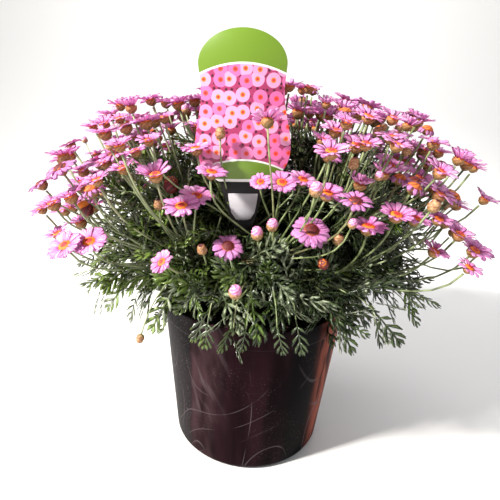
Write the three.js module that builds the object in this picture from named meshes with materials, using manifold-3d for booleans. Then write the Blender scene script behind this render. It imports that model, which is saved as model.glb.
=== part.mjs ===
// A marguerite daisy in a 200 mm nursery pot: a tapered pot with a rim band, potting mix, a woody crown,
// leafy stems that branch from it, bunches of pink blooms over them and a plant label on a stake.
// Millimetres, +Z up. The origin is the centre of the pot's flat base. The label faces -Y.

import * as THREE from 'three';
import { mergeVertices } from 'three/addons/utils/BufferGeometryUtils.js';
import Module from 'manifold-3d';

const wasm = await Module();
wasm.setup();

// Driving dimensions
const CLEARANCE = 0.3;

const POT = {
  height: 180, baseRadius: 85.5, footRound: 7, bodyRadius: 98.6, rimRadius: 103.5,
  bandHeight: 22, bandStep: 1.9, wall: 2.4, floor: 3, sides: 30,
  drainCount: 6, drainRadius: 7, drainCircle: 60,
};
const SOIL = { edgeHeight: 157, crownHeight: 163, lump: 1.6 };
const CROWN = {
  x: 0, y: 8, z: 175, trunkRadius: 8, trunkBottom: 120, burlRadius: 12, stubReach: 25, stubRadius: 2.6,
};
const LABEL = {
  x: -17, y: -50, bottom: 305, height: 128, lean: THREE.MathUtils.degToRad(2.8), thickness: 1.2,
  footHalf: 22, lobeHalf: 43, lobeHeight: 33, waistHalf: 36.4, waistHeight: 73, capHalf: 38, capHeight: 100,
};
const STAKE = {
  headHalf: 20, neckHalf: 9, stemHalf: 3, thickness: 1.6, headTop: 24, headFoot: 8,
  neckDepth: 44, shoulder: 50, pointRise: 14, point: 110, slotDepth: 78,
};
const BADGE = { topHalf: 14, midHalf: 11, bottomHalf: 7, height: 26, thickness: 0.8, drop: 11 };

// The dome that the blooms lie on: a rounded box, wider than it is deep, a little behind the pot's axis
const DOME = {
  centre: new THREE.Vector3(10, 25, 210), halfX: 238, halfY: 182, halfZ: 178, power: 2.4,
};
const BLOOM = {
  radius: 15.8, smallRadius: 13.2, petals: 6, frontPetals: 11, discTop: 3, underside: 1.5, cupHeight: 5,
  cupRadius: 4.4, valley: 0.4, farValley: 0.5, petalHalfTurn: 0.36,
};
const STALK = { rootRadius: 1.9, middleRadius: 1.6, upperRadius: 1.3, neckRadius: 1.2 };
const BUD = {
  rootRadius: 1.4, stalkRadius: 1.1, height: 10.5, lowRadius: 4.4, fullRadius: 4.8, tipRadius: 1.4,
};
const BUNCH = {
  candidates: 44, most: 30, gap: 0.5, spread: 1.86, attempts: 14, heads: [[5, 5], [9, 4], [14, 3]],
};
const STEM = {
  count: 15, reach: 0.48, radius: 2.6, coreRadius: 7, gap: 0.25, rootReach: 16,
  attempts: 24, leafAttempts: 16, choices: 5,
  lowRise: 0.5, lowLeaves: 8, highLeaves: 4,
};
const LEAF = {
  length: 72, halfWidth: 21, lobes: [[0.26, 0.85], [0.52, 1]], lobeRake: 0.22, tipShare: 0.78,
  ribShares: [0.3, 0.66], ribWidth: 1.5, ribHalfThickness: 0.6, arch: 0.01,
};
const GRID = 0.002;
const SIMPLIFY = 0.35;
const SEED = 20261;

const UP = new THREE.Vector3(0, 0, 1);
const GOLDEN_ANGLE = Math.PI * (3 - Math.sqrt(5));

const COLOURS = {
  pot: [0x241619, 0.5], soil: [0x3a2a1e, 0.95], crown: [0x6b5638, 0.85], label: [0xa3cf4a, 0.45],
  stake: [0x1c1a1b, 0.5], badge: [0xcfccd0, 0.5], green: [0x5d7d33, 0.7], pink: [0xea86c4, 0.6],
};

// The front heads that the photograph shows one by one: places, radius, and the lean from upright
// with the heading that it leans to, in degrees (0 is +X, -90 is towards the viewer)
const FRONT_BUNCHES = [
  { name: 'left_pair', heads: [[-159, -112, 254, 16, 30, -120], [-132, -104, 258, 16, 26, -100]] },
  { name: 'left_middle', heads: [[-67, -86, 287, 15.8, 24, -100], [-57, -66, 292, 15.5, 16, -70]] },
  { name: 'centre_low', heads: [[-26, -82, 252, 14.5, 36, -85]] },
  { name: 'right_low', heads: [[45, -93, 275, 17, 34, -80]] },
  { name: 'right_single', heads: [[91, -102, 282, 16.5, 26, -75]] },
  { name: 'left_low', heads: [[-80, -111, 244, 11, 62, -170]] },
  {
    name: 'label_foot',
    heads: [[18, -68, 309, 14, 30, -85], [-3, -71, 309, 9.5, 38, -95], [39, -61, 312, 13, 22, -60]],
  },
  { name: 'label_left_high', heads: [[-58, -66, 334, 13.5, 12, -140]] },
  { name: 'label_left_low', heads: [[-43, -77, 316, 14, 14, -60]] },
];

// The front buds and spent heads: place of the neck, then lean and heading as above
const FRONT_BUDS = [
  [-90, -71, 279, 12, -90], [-17, -118, 220, 20, -60], [11, -88, 271, 15, -60], [0, -93, 264, 15, -120],
  [68, -88, 262, 20, -30], [57, -106, 249, 55, -110], [-46, -96, 249, 25, -120], [-152, -74, 271, 30, 180],
  [-83, -50, 290, 10, 120], [-38, -60, 343, 8, -90], [-92, -132, 188, 150, -110],
];

// A small seeded generator, so every build draws the same plant
function makeRandom(seed) {
  let state = seed >>> 0;
  return () => {
    state = (state + 0x6d2b79f5) >>> 0;
    let mixed = state;
    mixed = Math.imul(mixed ^ (mixed >>> 15), mixed | 1);
    mixed ^= mixed + Math.imul(mixed ^ (mixed >>> 7), mixed | 61);
    return ((mixed ^ (mixed >>> 14)) >>> 0) / 4294967296;
  };
}

const random = makeRandom(SEED);
const between = (low, high) => low + (high - low) * random();
const jitter = (size) => new THREE.Vector3(between(-1, 1), between(-1, 1), between(-1, 1))
  .multiplyScalar(size);

// Closed geometry to a solid: vertices merged, and the empty triangles of a lathe's poles left out
function toSolid(geometry) {
  const bare = new THREE.BufferGeometry();
  bare.setAttribute('position', geometry.getAttribute('position'));
  if (geometry.index) bare.setIndex(geometry.index);
  const merged = mergeVertices(bare, 1e-4);
  const corners = merged.index.array;
  const kept = [];
  for (let i = 0; i < corners.length; i += 3) {
    const [a, b, c] = [corners[i], corners[i + 1], corners[i + 2]];
    if (a !== b && b !== c && c !== a) kept.push(a, b, c);
  }
  return new wasm.Manifold(new wasm.Mesh({
    numProp: 3,
    vertProperties: new Float32Array(merged.getAttribute('position').array),
    triVerts: new Uint32Array(kept),
  }));
}

function toGeometry(solid) {
  const mesh = solid.getMesh();
  const geometry = new THREE.BufferGeometry();
  geometry.setAttribute('position', new THREE.BufferAttribute(new Float32Array(mesh.vertProperties), 3));
  geometry.setIndex(new THREE.BufferAttribute(new Uint32Array(mesh.triVerts), 1));
  const flat = geometry.toNonIndexed();
  flat.computeVertexNormals();
  return flat;
}

// A joined solid with its corners on a fine grid, so that no sliver is thinner than the files can hold.
// Loose scraps that the join left are dropped. Nothing comes back where the grid breaks the surface.
function cleanBody(solid) {
  const bodies = solid.simplify(SIMPLIFY).decompose();
  const body = bodies.reduce((best, other) => (other.volume() > best.volume() ? other : best));
  const { vertProperties, triVerts } = body.getMesh();
  const grid = Float32Array.from(vertProperties, (value) => Math.round(value / GRID) * GRID);
  const geometry = new THREE.BufferGeometry();
  geometry.setAttribute('position', new THREE.BufferAttribute(grid, 3));
  geometry.setIndex(new THREE.BufferAttribute(new Uint32Array(triVerts), 1));
  try {
    const clean = toSolid(geometry);
    return clean.decompose().length === 1 ? clean : null;
  } catch {
    return null;
  }
}

const isClear = (solid, others, gap) => others.every((other) => solid.minGap(other, gap + 0.1) >= gap);

// A tapered round stem: rings of `sides` points at [distance, radius] stations along a curve, and on
// past its end in a straight line. The first and last rings are closed flat.
function stemSolid(curve, stations, sides) {
  const length = curve.getLength();
  const endTangent = curve.getTangentAt(1);
  const end = curve.getPointAt(1);
  const across = new THREE.Vector3(0, 0, 1).cross(curve.getTangentAt(0));
  if (across.length() < 0.1) across.set(1, 0, 0);
  const positions = [];
  for (const [distance, radius] of stations) {
    const share = Math.min(distance / length, 1);
    const tangent = share < 1 ? curve.getTangentAt(share) : endTangent;
    const centre = share < 1
      ? curve.getPointAt(share)
      : end.clone().addScaledVector(endTangent, distance - length);
    across.addScaledVector(tangent, -across.dot(tangent)).normalize();
    const other = new THREE.Vector3().crossVectors(tangent, across);
    for (let i = 0; i < sides; i += 1) {
      const angle = (2 * Math.PI * i) / sides;
      const point = centre.clone()
        .addScaledVector(across, radius * Math.cos(angle))
        .addScaledVector(other, radius * Math.sin(angle));
      positions.push(point.x, point.y, point.z);
    }
  }
  const index = [];
  const rings = stations.length;
  for (let ring = 0; ring < rings - 1; ring += 1) {
    for (let i = 0; i < sides; i += 1) {
      const a = ring * sides + i;
      const b = ring * sides + ((i + 1) % sides);
      index.push(a, b, b + sides, a, b + sides, a + sides);
    }
  }
  const last = (rings - 1) * sides;
  for (let i = 1; i < sides - 1; i += 1) {
    index.push(0, i + 1, i, last, last + i, last + i + 1);
  }
  const geometry = new THREE.BufferGeometry();
  geometry.setAttribute('position', new THREE.Float32BufferAttribute(positions, 3));
  geometry.setIndex(index);
  return toSolid(geometry);
}

// Pot and potting mix
function potSolid() {
  const bandLow = POT.height - POT.bandHeight;
  const footInner = POT.baseRadius - POT.footRound;
  const roundShare = Math.SQRT1_2;
  const profile = [
    [0, 0], [footInner, 0],
    [footInner + POT.footRound * roundShare, POT.footRound * (1 - roundShare)],
    [POT.baseRadius, POT.footRound],
    [POT.bodyRadius, bandLow - 1],
    [POT.bodyRadius + POT.bandStep, bandLow],
    [POT.rimRadius, POT.height - 1.5],
    [POT.rimRadius - 1, POT.height],
    [POT.rimRadius - POT.wall, POT.height - 0.5],
    [POT.bodyRadius - POT.wall, bandLow - 3],
    [POT.baseRadius - POT.wall, POT.footRound + 2],
    [footInner - 1, POT.floor], [0, POT.floor],
  ].map(([x, y]) => new THREE.Vector2(x, y));
  const shell = new THREE.LatheGeometry(profile, POT.sides).rotateX(Math.PI / 2);
  let pot = toSolid(shell);
  for (let i = 0; i < POT.drainCount; i += 1) {
    const angle = (2 * Math.PI * (i + 0.5)) / POT.drainCount;
    const hole = new THREE.CylinderGeometry(POT.drainRadius, POT.drainRadius, 6 * POT.floor, 8)
      .rotateX(Math.PI / 2)
      .translate(POT.drainCircle * Math.cos(angle), POT.drainCircle * Math.sin(angle), 0);
    pot = pot.subtract(toSolid(hole));
  }
  return pot;
}

function soilSolid(holes) {
  const bandLow = POT.height - POT.bandHeight;
  const footInner = POT.baseRadius - POT.footRound;
  const slack = CLEARANCE + POT.wall + 0.4;
  const share = (SOIL.edgeHeight - POT.footRound) / (bandLow - POT.footRound);
  const edge = POT.baseRadius + (POT.bodyRadius - POT.baseRadius) * share - slack;
  const profile = [
    [0, POT.floor + CLEARANCE], [footInner - 2, POT.floor + CLEARANCE],
    [POT.baseRadius - slack, POT.footRound + 2.6],
    [edge, SOIL.edgeHeight], [edge * 0.72, SOIL.edgeHeight + 3], [edge * 0.38, SOIL.crownHeight - 1],
    [0, SOIL.crownHeight],
  ].map(([x, y]) => new THREE.Vector2(x, y));
  const mound = new THREE.LatheGeometry(profile, 24).rotateX(Math.PI / 2);
  const place = mound.getAttribute('position');
  for (let i = 0; i < place.count; i += 1) {
    const [x, y, z] = [place.getX(i), place.getY(i), place.getZ(i)];
    const inside = z > SOIL.edgeHeight + 1 ? 1 : 0;
    place.setZ(i, z + inside * SOIL.lump * Math.sin(0.09 * x + 1.3) * Math.cos(0.11 * y - 0.4));
  }
  return holes.reduce((soil, hole) => soil.subtract(hole), toSolid(mound));
}

// Plant label: a card with a domed cap, a waist and a round lower lobe, on a dark stake with a pale badge
const leanLabel = (geometry) => geometry
  .translate(0, 0, -LABEL.bottom)
  .rotateY(-LABEL.lean)
  .translate(LABEL.x, LABEL.y, LABEL.bottom);

// A flat outline drawn in X and height, given a thickness and stood up facing -Y
function standingPlate(outline, thickness, front) {
  const shape = new THREE.Shape(outline);
  const plate = new THREE.ExtrudeGeometry(shape, { depth: thickness, bevelEnabled: false });
  return toSolid(leanLabel(plate.rotateX(Math.PI / 2).translate(0, front + thickness, 0)));
}

const mirrored = (half) => [
  ...half,
  ...half.slice().reverse().filter((point) => Math.abs(point.x) > 1e-6)
    .map((point) => new THREE.Vector2(-point.x, point.y)),
];

function cardSolid() {
  const side = new THREE.SplineCurve([
    new THREE.Vector2(LABEL.footHalf, 0),
    new THREE.Vector2(LABEL.lobeHalf * 0.87, LABEL.lobeHeight * 0.36),
    new THREE.Vector2(LABEL.lobeHalf, LABEL.lobeHeight),
    new THREE.Vector2(LABEL.waistHalf, LABEL.waistHeight),
    new THREE.Vector2(LABEL.capHalf, LABEL.capHeight),
  ]).getPoints(10);
  const cap = new THREE.EllipseCurve(
    0, LABEL.capHeight, LABEL.capHalf, LABEL.height - LABEL.capHeight, 0, Math.PI / 2,
  ).getPoints(5).slice(1);
  cap[cap.length - 1].x = 0;
  const outline = mirrored([...side, ...cap]).map((p) => new THREE.Vector2(p.x, LABEL.bottom + p.y));
  return standingPlate(outline, LABEL.thickness, 0);
}

function stakeSolid() {
  const half = [
    [0, STAKE.headTop], [STAKE.headHalf, STAKE.headTop], [STAKE.headHalf, -STAKE.headFoot],
    [STAKE.neckHalf, -STAKE.neckDepth], [STAKE.stemHalf, -STAKE.shoulder],
    [STAKE.stemHalf, STAKE.point + STAKE.pointRise - LABEL.bottom],
    [0, STAKE.point - LABEL.bottom],
  ].map(([x, z]) => new THREE.Vector2(-x, LABEL.bottom + z));
  return standingPlate(mirrored(half), STAKE.thickness, LABEL.thickness + CLEARANCE);
}

function badgeSolid() {
  const half = [
    [0, 0], [BADGE.bottomHalf, 1.5], [BADGE.midHalf, BADGE.height * 0.3],
    [BADGE.topHalf, BADGE.height], [0, BADGE.height],
  ].map(([x, z]) => new THREE.Vector2(x, LABEL.bottom - BADGE.drop - BADGE.height + z));
  return standingPlate(mirrored(half), BADGE.thickness, LABEL.thickness - BADGE.thickness);
}

// The slot that the stake stands in
function stakeSlot() {
  const slack = 2 * CLEARANCE;
  const width = 2 * STAKE.stemHalf + 2 * slack;
  const slot = new THREE.BoxGeometry(width, STAKE.thickness + 2 * slack, STAKE.slotDepth)
    .translate(0, LABEL.thickness + CLEARANCE + STAKE.thickness / 2, STAKE.point + STAKE.slotDepth / 2 - 2);
  return toSolid(leanLabel(slot));
}

// Woody crown: a short trunk with a stub for each leafy stem
const crownCentre = new THREE.Vector3(CROWN.x, CROWN.y, CROWN.z);

function stemDirection(k) {
  const lowest = 0.1;
  const rise = lowest + (0.96 - lowest) * ((k + 0.5) / STEM.count);
  const flat = Math.sqrt(1 - rise * rise);
  const heading = k * GOLDEN_ANGLE + 0.6;
  return new THREE.Vector3(flat * Math.cos(heading), flat * Math.sin(heading), rise);
}

// The trunk, or the hole that it stands in, by how much wider it is
function trunkSolid(extra) {
  const foot = new THREE.Vector3(CROWN.x, CROWN.y, CROWN.trunkBottom - extra);
  const line = new THREE.LineCurve3(foot, crownCentre);
  const length = line.getLength();
  return stemSolid(line, [
    [0, CROWN.trunkRadius + extra], [length - 9, CROWN.trunkRadius + extra],
    [length - 3, CROWN.burlRadius + extra], [length + 5, CROWN.burlRadius - 1 + extra],
    [length + 10, CROWN.burlRadius / 2 + extra],
  ], 6);
}

function crownSolid() {
  const parts = [trunkSolid(0)];
  for (let k = 0; k < STEM.count; k += 1) {
    const tip = crownCentre.clone().addScaledVector(stemDirection(k), CROWN.stubReach);
    const line = new THREE.LineCurve3(crownCentre, tip);
    parts.push(stemSolid(line, [[0, CROWN.stubRadius], [CROWN.stubReach, CROWN.stubRadius]], 3));
  }
  return cleanBody(wasm.Manifold.union(parts));
}

// Blooms: a round of petals that thin out from a raised disc to their edges. They are blunt on the front
// heads and come to a point on the others.
function bloomSolid(head) {
  const { radius, petals } = head;
  const blunt = petals === BLOOM.frontPetals;
  const step = (2 * Math.PI) / petals;
  const positions = [0, 0, BLOOM.discTop, 0, 0, -BLOOM.underside];
  const outline = [];
  for (let i = 0; i < petals; i += 1) {
    const middle = i * step;
    const long = radius * (1 - 0.05 * ((i * 5) % 3));
    const tip = blunt
      ? [[-BLOOM.petalHalfTurn, long, 0.09], [BLOOM.petalHalfTurn, long * 0.985, 0.07]]
      : [[0, long, 0.09]];
    const corners = [...tip, [0.5, radius * (blunt ? BLOOM.valley : BLOOM.farValley), 0.02]];
    corners.forEach(([turn, reach, lift]) => {
      const angle = middle + turn * step;
      outline.push(positions.length / 3);
      positions.push(reach * Math.cos(angle), reach * Math.sin(angle), lift * radius);
    });
  }
  const index = [];
  outline.forEach((a, i) => {
    const b = outline[(i + 1) % outline.length];
    index.push(0, a, b, 1, b, a);
  });
  const geometry = new THREE.BufferGeometry();
  geometry.setAttribute('position', new THREE.Float32BufferAttribute(positions, 3));
  geometry.setIndex(index);
  const turn = new THREE.Quaternion().setFromUnitVectors(UP, head.axis);
  const spin = new THREE.Quaternion().setFromAxisAngle(UP, head.spin);
  geometry.applyQuaternion(spin).applyQuaternion(turn);
  geometry.translate(head.place.x, head.place.y, head.place.z);
  return toSolid(geometry);
}

const leaningAxis = (lean, heading) => new THREE.Vector3(
  Math.sin(lean) * Math.cos(heading), Math.sin(lean) * Math.sin(heading), Math.cos(lean),
);

function domePoint(direction, share) {
  const { centre, halfX, halfY, halfZ, power } = DOME;
  const sum = Math.abs(direction.x / halfX) ** power
    + Math.abs(direction.y / halfY) ** power
    + Math.abs(direction.z / halfZ) ** power;
  return centre.clone().addScaledVector(direction, share * sum ** (-1 / power));
}

// A bunch stays only as one body: outer heads move in until their petals meet
function fuseBunch(heads) {
  const first = heads[0];
  for (let pull = 0; pull < 14; pull += 1) {
    const solid = wasm.Manifold.union(heads.map(bloomSolid));
    if (solid.decompose().length === 1) return cleanBody(solid);
    heads.slice(1).forEach((head) => head.place.lerp(first.place, 0.03));
  }
  return null;
}

function frontBunches() {
  return FRONT_BUNCHES.map(({ name, heads: rows }) => {
    const heads = rows.map(([x, y, z, radius, lean, heading], i) => ({
      place: new THREE.Vector3(x, y, z),
      radius,
      petals: BLOOM.frontPetals,
      axis: leaningAxis(THREE.MathUtils.degToRad(lean), THREE.MathUtils.degToRad(heading)),
      spin: 0.7 * i + 0.2,
    }));
    const solid = fuseBunch(heads);
    if (!solid) throw new Error(`the heads of ${name} do not join`);
    return { name: `blooms_${name}`, heads, solid };
  });
}

// The label's face stays in view, and the lower front stays open over the foliage
function isOpenPlace(point) {
  const beforeLabel = point.y < LABEL.y + 25 && Math.abs(point.x - LABEL.x) < 66 && point.z > 262;
  const lowFront = point.y < -60 && point.z < 285 && Math.abs(point.x) < 150;
  return beforeLabel || lowFront;
}

function drawBunch(direction, count) {
  const centre = domePoint(direction, between(0.86, 0.97));
  const outward = centre.clone().sub(DOME.centre).normalize();
  const mean = outward.clone().multiplyScalar(0.5).addScaledVector(UP, 0.75).normalize();
  const u = new THREE.Vector3(0, 1, 0).cross(mean).normalize();
  const v = new THREE.Vector3().crossVectors(mean, u);
  const start = between(0, 2 * Math.PI);
  const heads = [];
  for (let i = 0; i < count; i += 1) {
    const radius = between(BLOOM.smallRadius, BLOOM.radius);
    const angle = start + (i - 1) * ((2 * Math.PI) / (count - 1)) + between(-0.25, 0.25);
    const reach = i === 0 ? 0 : BUNCH.spread * 0.5 * (radius + heads[0].radius);
    const place = centre.clone()
      .addScaledVector(u, reach * Math.cos(angle))
      .addScaledVector(v, reach * Math.sin(angle))
      .addScaledVector(mean, between(-1.5, 1.5));
    const axis = mean.clone()
      .add(new THREE.Vector3(between(-1, 1), between(-1, 1), between(-0.4, 0.4)).multiplyScalar(0.16))
      .normalize();
    heads.push({ place, radius, petals: BLOOM.petals, axis, spin: between(0, 2 * Math.PI) });
  }
  return heads;
}

function domeBunches(fixed, front) {
  const bunches = [];
  const taken = front.map((bunch) => bunch.solid);
  for (let i = 0; i < BUNCH.candidates && bunches.length < BUNCH.most; i += 1) {
    const rise = 0.98 - 0.9 * ((i + 0.5) / BUNCH.candidates);
    const flat = Math.sqrt(1 - rise * rise);
    const heading = i * GOLDEN_ANGLE;
    const direction = new THREE.Vector3(flat * Math.cos(heading), flat * Math.sin(heading), rise);
    for (let attempt = 0; attempt < BUNCH.attempts; attempt += 1) {
      const [, count] = BUNCH.heads.find(([tries]) => attempt < tries);
      const nudged = direction.clone().add(jitter(0.02 + 0.012 * attempt)).normalize();
      const heads = drawBunch(nudged, count);
      if (heads.some((head) => isOpenPlace(head.place))) continue;
      const solid = fuseBunch(heads);
      if (!solid || !isClear(solid, [...fixed, ...taken], BUNCH.gap)) continue;
      taken.push(solid);
      bunches.push({ name: `blooms_dome_${String(bunches.length + 1).padStart(2, '0')}`, heads, solid });
      break;
    }
  }
  return bunches;
}

// Leaves: one thin arched blade, its outline cut into narrow lobes on both sides of the rib
function leafSolid({ root, along, upper, length, droop }) {
  const width = LEAF.halfWidth * (length / LEAF.length);
  const half = [[0, 1.1]];
  LEAF.lobes.forEach(([share, spread]) => {
    half.push([length * share, LEAF.ribWidth]);
    half.push([length * (share + LEAF.lobeRake), width * spread]);
  });
  half.push([length * LEAF.tipShare, LEAF.ribWidth]);
  const outline = [...half, [length, 0], ...half.slice().reverse().map(([x, y]) => [x, -y])];
  const ribs = LEAF.ribShares.map((share) => share * length);
  const side = new THREE.Vector3().crossVectors(upper, along).normalize();
  const normal = new THREE.Vector3().crossVectors(along, side).normalize();
  const positions = [];
  const addPoint = (x, y, lift) => {
    const fall = -droop * length * (x / length) ** 2 - LEAF.arch * y * y;
    const point = root.clone()
      .addScaledVector(along, x)
      .addScaledVector(side, y)
      .addScaledVector(normal, lift + fall);
    positions.push(point.x, point.y, point.z);
  };
  ribs.forEach((x) => addPoint(x, 0, LEAF.ribHalfThickness));
  ribs.forEach((x) => addPoint(x, 0, -LEAF.ribHalfThickness));
  outline.forEach(([x, y]) => addPoint(x, y, 0));
  const border = 0.5 * (ribs[0] + ribs[1]);
  const nearestRib = outline.map(([x]) => (x < border ? 0 : 1));
  const index = [];
  const first = 2 * ribs.length;
  outline.forEach((point, i) => {
    const next = (i + 1) % outline.length;
    const [edgeA, edgeB] = [first + i, first + next];
    const [ribA, ribB] = [nearestRib[i], nearestRib[next]];
    index.push(ribA, edgeB, edgeA, ribA + ribs.length, edgeA, edgeB);
    if (ribA !== ribB) index.push(ribA, ribB, edgeB, ribA + ribs.length, edgeB, ribB + ribs.length);
  });
  const geometry = new THREE.BufferGeometry();
  geometry.setAttribute('position', new THREE.Float32BufferAttribute(positions, 3));
  geometry.setIndex(index);
  return toSolid(geometry);
}

// A smooth curve that leaves one place on one heading and arrives at another on another heading
function smoothCurve(start, startHeading, end, endHeading) {
  const span = start.distanceTo(end);
  return new THREE.CubicBezierCurve3(
    start,
    start.clone().addScaledVector(startHeading, 0.38 * span),
    end.clone().addScaledVector(endHeading, -0.38 * span),
    end,
  );
}

// The bare stalk of a head, which widens into the cup under its petals. A fork is short and straighter.
function stalkSolid(curve, isFork) {
  const length = curve.getLength();
  const { rootRadius, middleRadius, upperRadius, neckRadius } = STALK;
  const rings = isFork
    ? [[0, upperRadius]]
    : [[0, rootRadius], [length * 0.4, middleRadius], [length * 0.75, upperRadius]];
  const cup = [[length, neckRadius], [length + BLOOM.cupHeight, BLOOM.cupRadius]];
  return stemSolid(curve, [...rings, ...cup], 3);
}

function budSolid(curve) {
  const length = curve.getLength();
  return stemSolid(curve, [
    [0, BUD.rootRadius], [length * 0.5, BUD.stalkRadius], [length, BUD.stalkRadius],
    [length + BUD.height * 0.24, BUD.lowRadius], [length + BUD.height * 0.67, BUD.fullRadius],
    [length + BUD.height, BUD.tipRadius],
  ], 4);
}

// The main axis of a leafy stem, from just off its stub
function stemAxis(k) {
  const direction = stemDirection(k);
  const start = crownCentre.clone().addScaledVector(direction, CROWN.stubReach + CLEARANCE);
  const end = crownCentre.clone().lerp(domePoint(direction, 1), STEM.reach);
  const span = start.distanceTo(end);
  return new THREE.QuadraticBezierCurve3(start, start.clone().addScaledVector(direction, 0.5 * span), end);
}

// The axis thickens to a slim core where its leaves stand thick
function axisSolid(axis) {
  const length = axis.getLength();
  return stemSolid(axis, [
    [0, STEM.radius], [length * 0.3, STEM.radius], [length * 0.65, STEM.coreRadius],
    [length, 0.6 * STEM.coreRadius], [length + 12, STALK.neckRadius],
  ], 5);
}

const cupFoot = (head) => {
  const below = BLOOM.underside + CLEARANCE + BLOOM.cupHeight;
  return head.place.clone().addScaledVector(head.axis, -below);
};

// Sinks a piece into a stem's body if it is clear of every other node and meets the body near its root
function addPiece(stem, piece, root, reach, others) {
  if (!isClear(piece, others, STEM.gap)) return false;
  const shared = stem.body.intersect(piece);
  if (shared.isEmpty()) return false;
  const { min, max } = shared.boundingBox();
  const corners = [new THREE.Vector3(...min), new THREE.Vector3(...max)];
  if (corners.some((corner) => root.distanceTo(corner) > reach)) return false;
  const joined = cleanBody(stem.body.add(piece));
  if (joined) stem.body = joined;
  return joined !== null;
}

// A stalk to each head of a bunch: the first grows from the stem's axis, and the others fork from it
function growBunch(stem, bunch, others) {
  const [first, ...rest] = bunch.heads;
  const foot = cupFoot(first);
  for (let attempt = 0; attempt < STEM.attempts; attempt += 1) {
    const before = stem.body;
    const reach = attempt < STEM.attempts * 0.7 ? STEM.rootReach : Infinity;
    const root = stem.axis.getPointAt(between(0.5 - 0.3 * (attempt / STEM.attempts), 0.95));
    const toHead = foot.clone().sub(root).normalize();
    const heading = stem.axis.getTangentAt(1).multiplyScalar(0.5).add(toHead).add(jitter(0.02 * attempt));
    const main = smoothCurve(root, heading.normalize(), foot, first.axis);
    let whole = addPiece(stem, stalkSolid(main, false), root, reach, others);
    rest.forEach((head, i) => {
      if (!whole) return;
      const share = between(0.42, 0.52) + (0.2 * i) / rest.length;
      const forkRoot = main.getPointAt(share);
      const end = cupFoot(head);
      const leave = main.getTangentAt(share).add(end.clone().sub(forkRoot).normalize()).normalize();
      const fork = stalkSolid(smoothCurve(forkRoot, leave, end, head.axis), true);
      whole = addPiece(stem, fork, forkRoot, reach, others);
    });
    if (whole) {
      stem.twigs.push(main);
      return true;
    }
    stem.body = before;
  }
  return false;
}

function growBud(stem, { place, heading }, others) {
  for (let attempt = 0; attempt < STEM.attempts; attempt += 1) {
    const root = stem.axis.getPointAt(between(0.4, 1));
    const toBud = place.clone().sub(root).normalize();
    const leave = stem.axis.getTangentAt(1).add(toBud).add(jitter(0.03 * attempt));
    const curve = smoothCurve(root, leave.normalize(), place, heading);
    if (addPiece(stem, budSolid(curve), root, Infinity, others)) return true;
  }
  return false;
}

function growLeaves(stem, others) {
  const low = stem.rise < STEM.lowRise;
  const count = low ? STEM.lowLeaves : STEM.highLeaves;
  for (let i = 0; i < count; i += 1) {
    for (let attempt = 0; attempt < STEM.leafAttempts; attempt += 1) {
      const onTwig = i % 3 === 2 && stem.twigs.length > 0;
      const carrier = onTwig ? stem.twigs[(i + attempt) % stem.twigs.length] : stem.axis;
      const share = onTwig ? between(0.1, 0.6) : between(low ? 0.15 : 0.35, 1);
      const root = carrier.getPointAt(share);
      const tangent = carrier.getTangentAt(share);
      const turn = i * GOLDEN_ANGLE + between(-0.6, 0.6);
      const across = new THREE.Vector3(0, 0, 1).cross(tangent).normalize();
      const over = new THREE.Vector3().crossVectors(tangent, across);
      const along = across.multiplyScalar(Math.cos(turn))
        .addScaledVector(over, Math.sin(turn))
        .addScaledVector(tangent, between(0.4, 1))
        .addScaledVector(UP, low ? between(-0.9, -0.1) : between(-0.3, 0.3))
        .normalize();
      const length = LEAF.length * between(0.8, 1.15);
      const leaf = leafSolid({ root, along, upper: UP, length, droop: between(0.04, 0.25) });
      if (addPiece(stem, leaf, root, STEM.rootReach, others)) break;
    }
  }
}

// The stems in the order in which their own directions lie nearest to a place
function stemsTowards(place, stems) {
  const aim = place.clone().sub(crownCentre).normalize();
  const closeness = (stem) => stem.aim.dot(aim);
  return stems.slice().sort((a, b) => closeness(b) - closeness(a));
}

// The whole plant in its pot
const group = new THREE.Group();

function addNode(name, solid, look) {
  const [color, roughness] = COLOURS[look];
  const material = new THREE.MeshStandardMaterial({ color, roughness, metalness: 0 });
  const mesh = new THREE.Mesh(toGeometry(solid), material);
  mesh.name = name;
  group.add(mesh);
}

const pot = potSolid();
const crown = crownSolid();
const card = cardSolid();
const stake = stakeSolid();
const badge = badgeSolid();
const soil = soilSolid([trunkSolid(CLEARANCE), stakeSlot()]);
addNode('pot', pot, 'pot');
addNode('potting_mix', soil, 'soil');
addNode('woody_crown', crown, 'crown');
addNode('label_card', card, 'label');
addNode('label_stake', stake, 'stake');
addNode('label_badge', badge, 'badge');

const hard = [pot, soil, card, stake, badge];
const front = frontBunches();
const bunches = [...front, ...domeBunches(hard, front)];
const stems = Array.from({ length: STEM.count }, (_, k) => {
  const axis = stemAxis(k);
  const direction = stemDirection(k);
  return {
    name: `leafy_stem_${String(k + 1).padStart(2, '0')}`,
    axis,
    body: axisSolid(axis),
    aim: domePoint(direction, 1).sub(crownCentre).normalize(),
    rise: direction.z,
    twigs: [],
  };
});
const othersOf = (stem) => [
  ...hard, crown, ...bunches.map((bunch) => bunch.solid),
  ...stems.filter((other) => other !== stem).map((other) => other.body),
];
bunches.slice().forEach((bunch) => {
  const near = stemsTowards(bunch.heads[0].place, stems).slice(0, STEM.choices);
  if (near.some((stem) => growBunch(stem, bunch, othersOf(stem)))) {
    addNode(bunch.name, bunch.solid, 'pink');
  } else {
    bunches.splice(bunches.indexOf(bunch), 1);
  }
});
const frontBuds = FRONT_BUDS.map(([x, y, z, lean, heading]) => ({
  place: new THREE.Vector3(x, y, z),
  heading: leaningAxis(THREE.MathUtils.degToRad(lean), THREE.MathUtils.degToRad(heading)),
}));
frontBuds.forEach((bud) => {
  const near = stemsTowards(bud.place, stems).slice(0, STEM.choices);
  if (!near.some((stem) => growBud(stem, bud, othersOf(stem)))) {
    throw new Error('no stem reaches a bud');
  }
});
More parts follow.
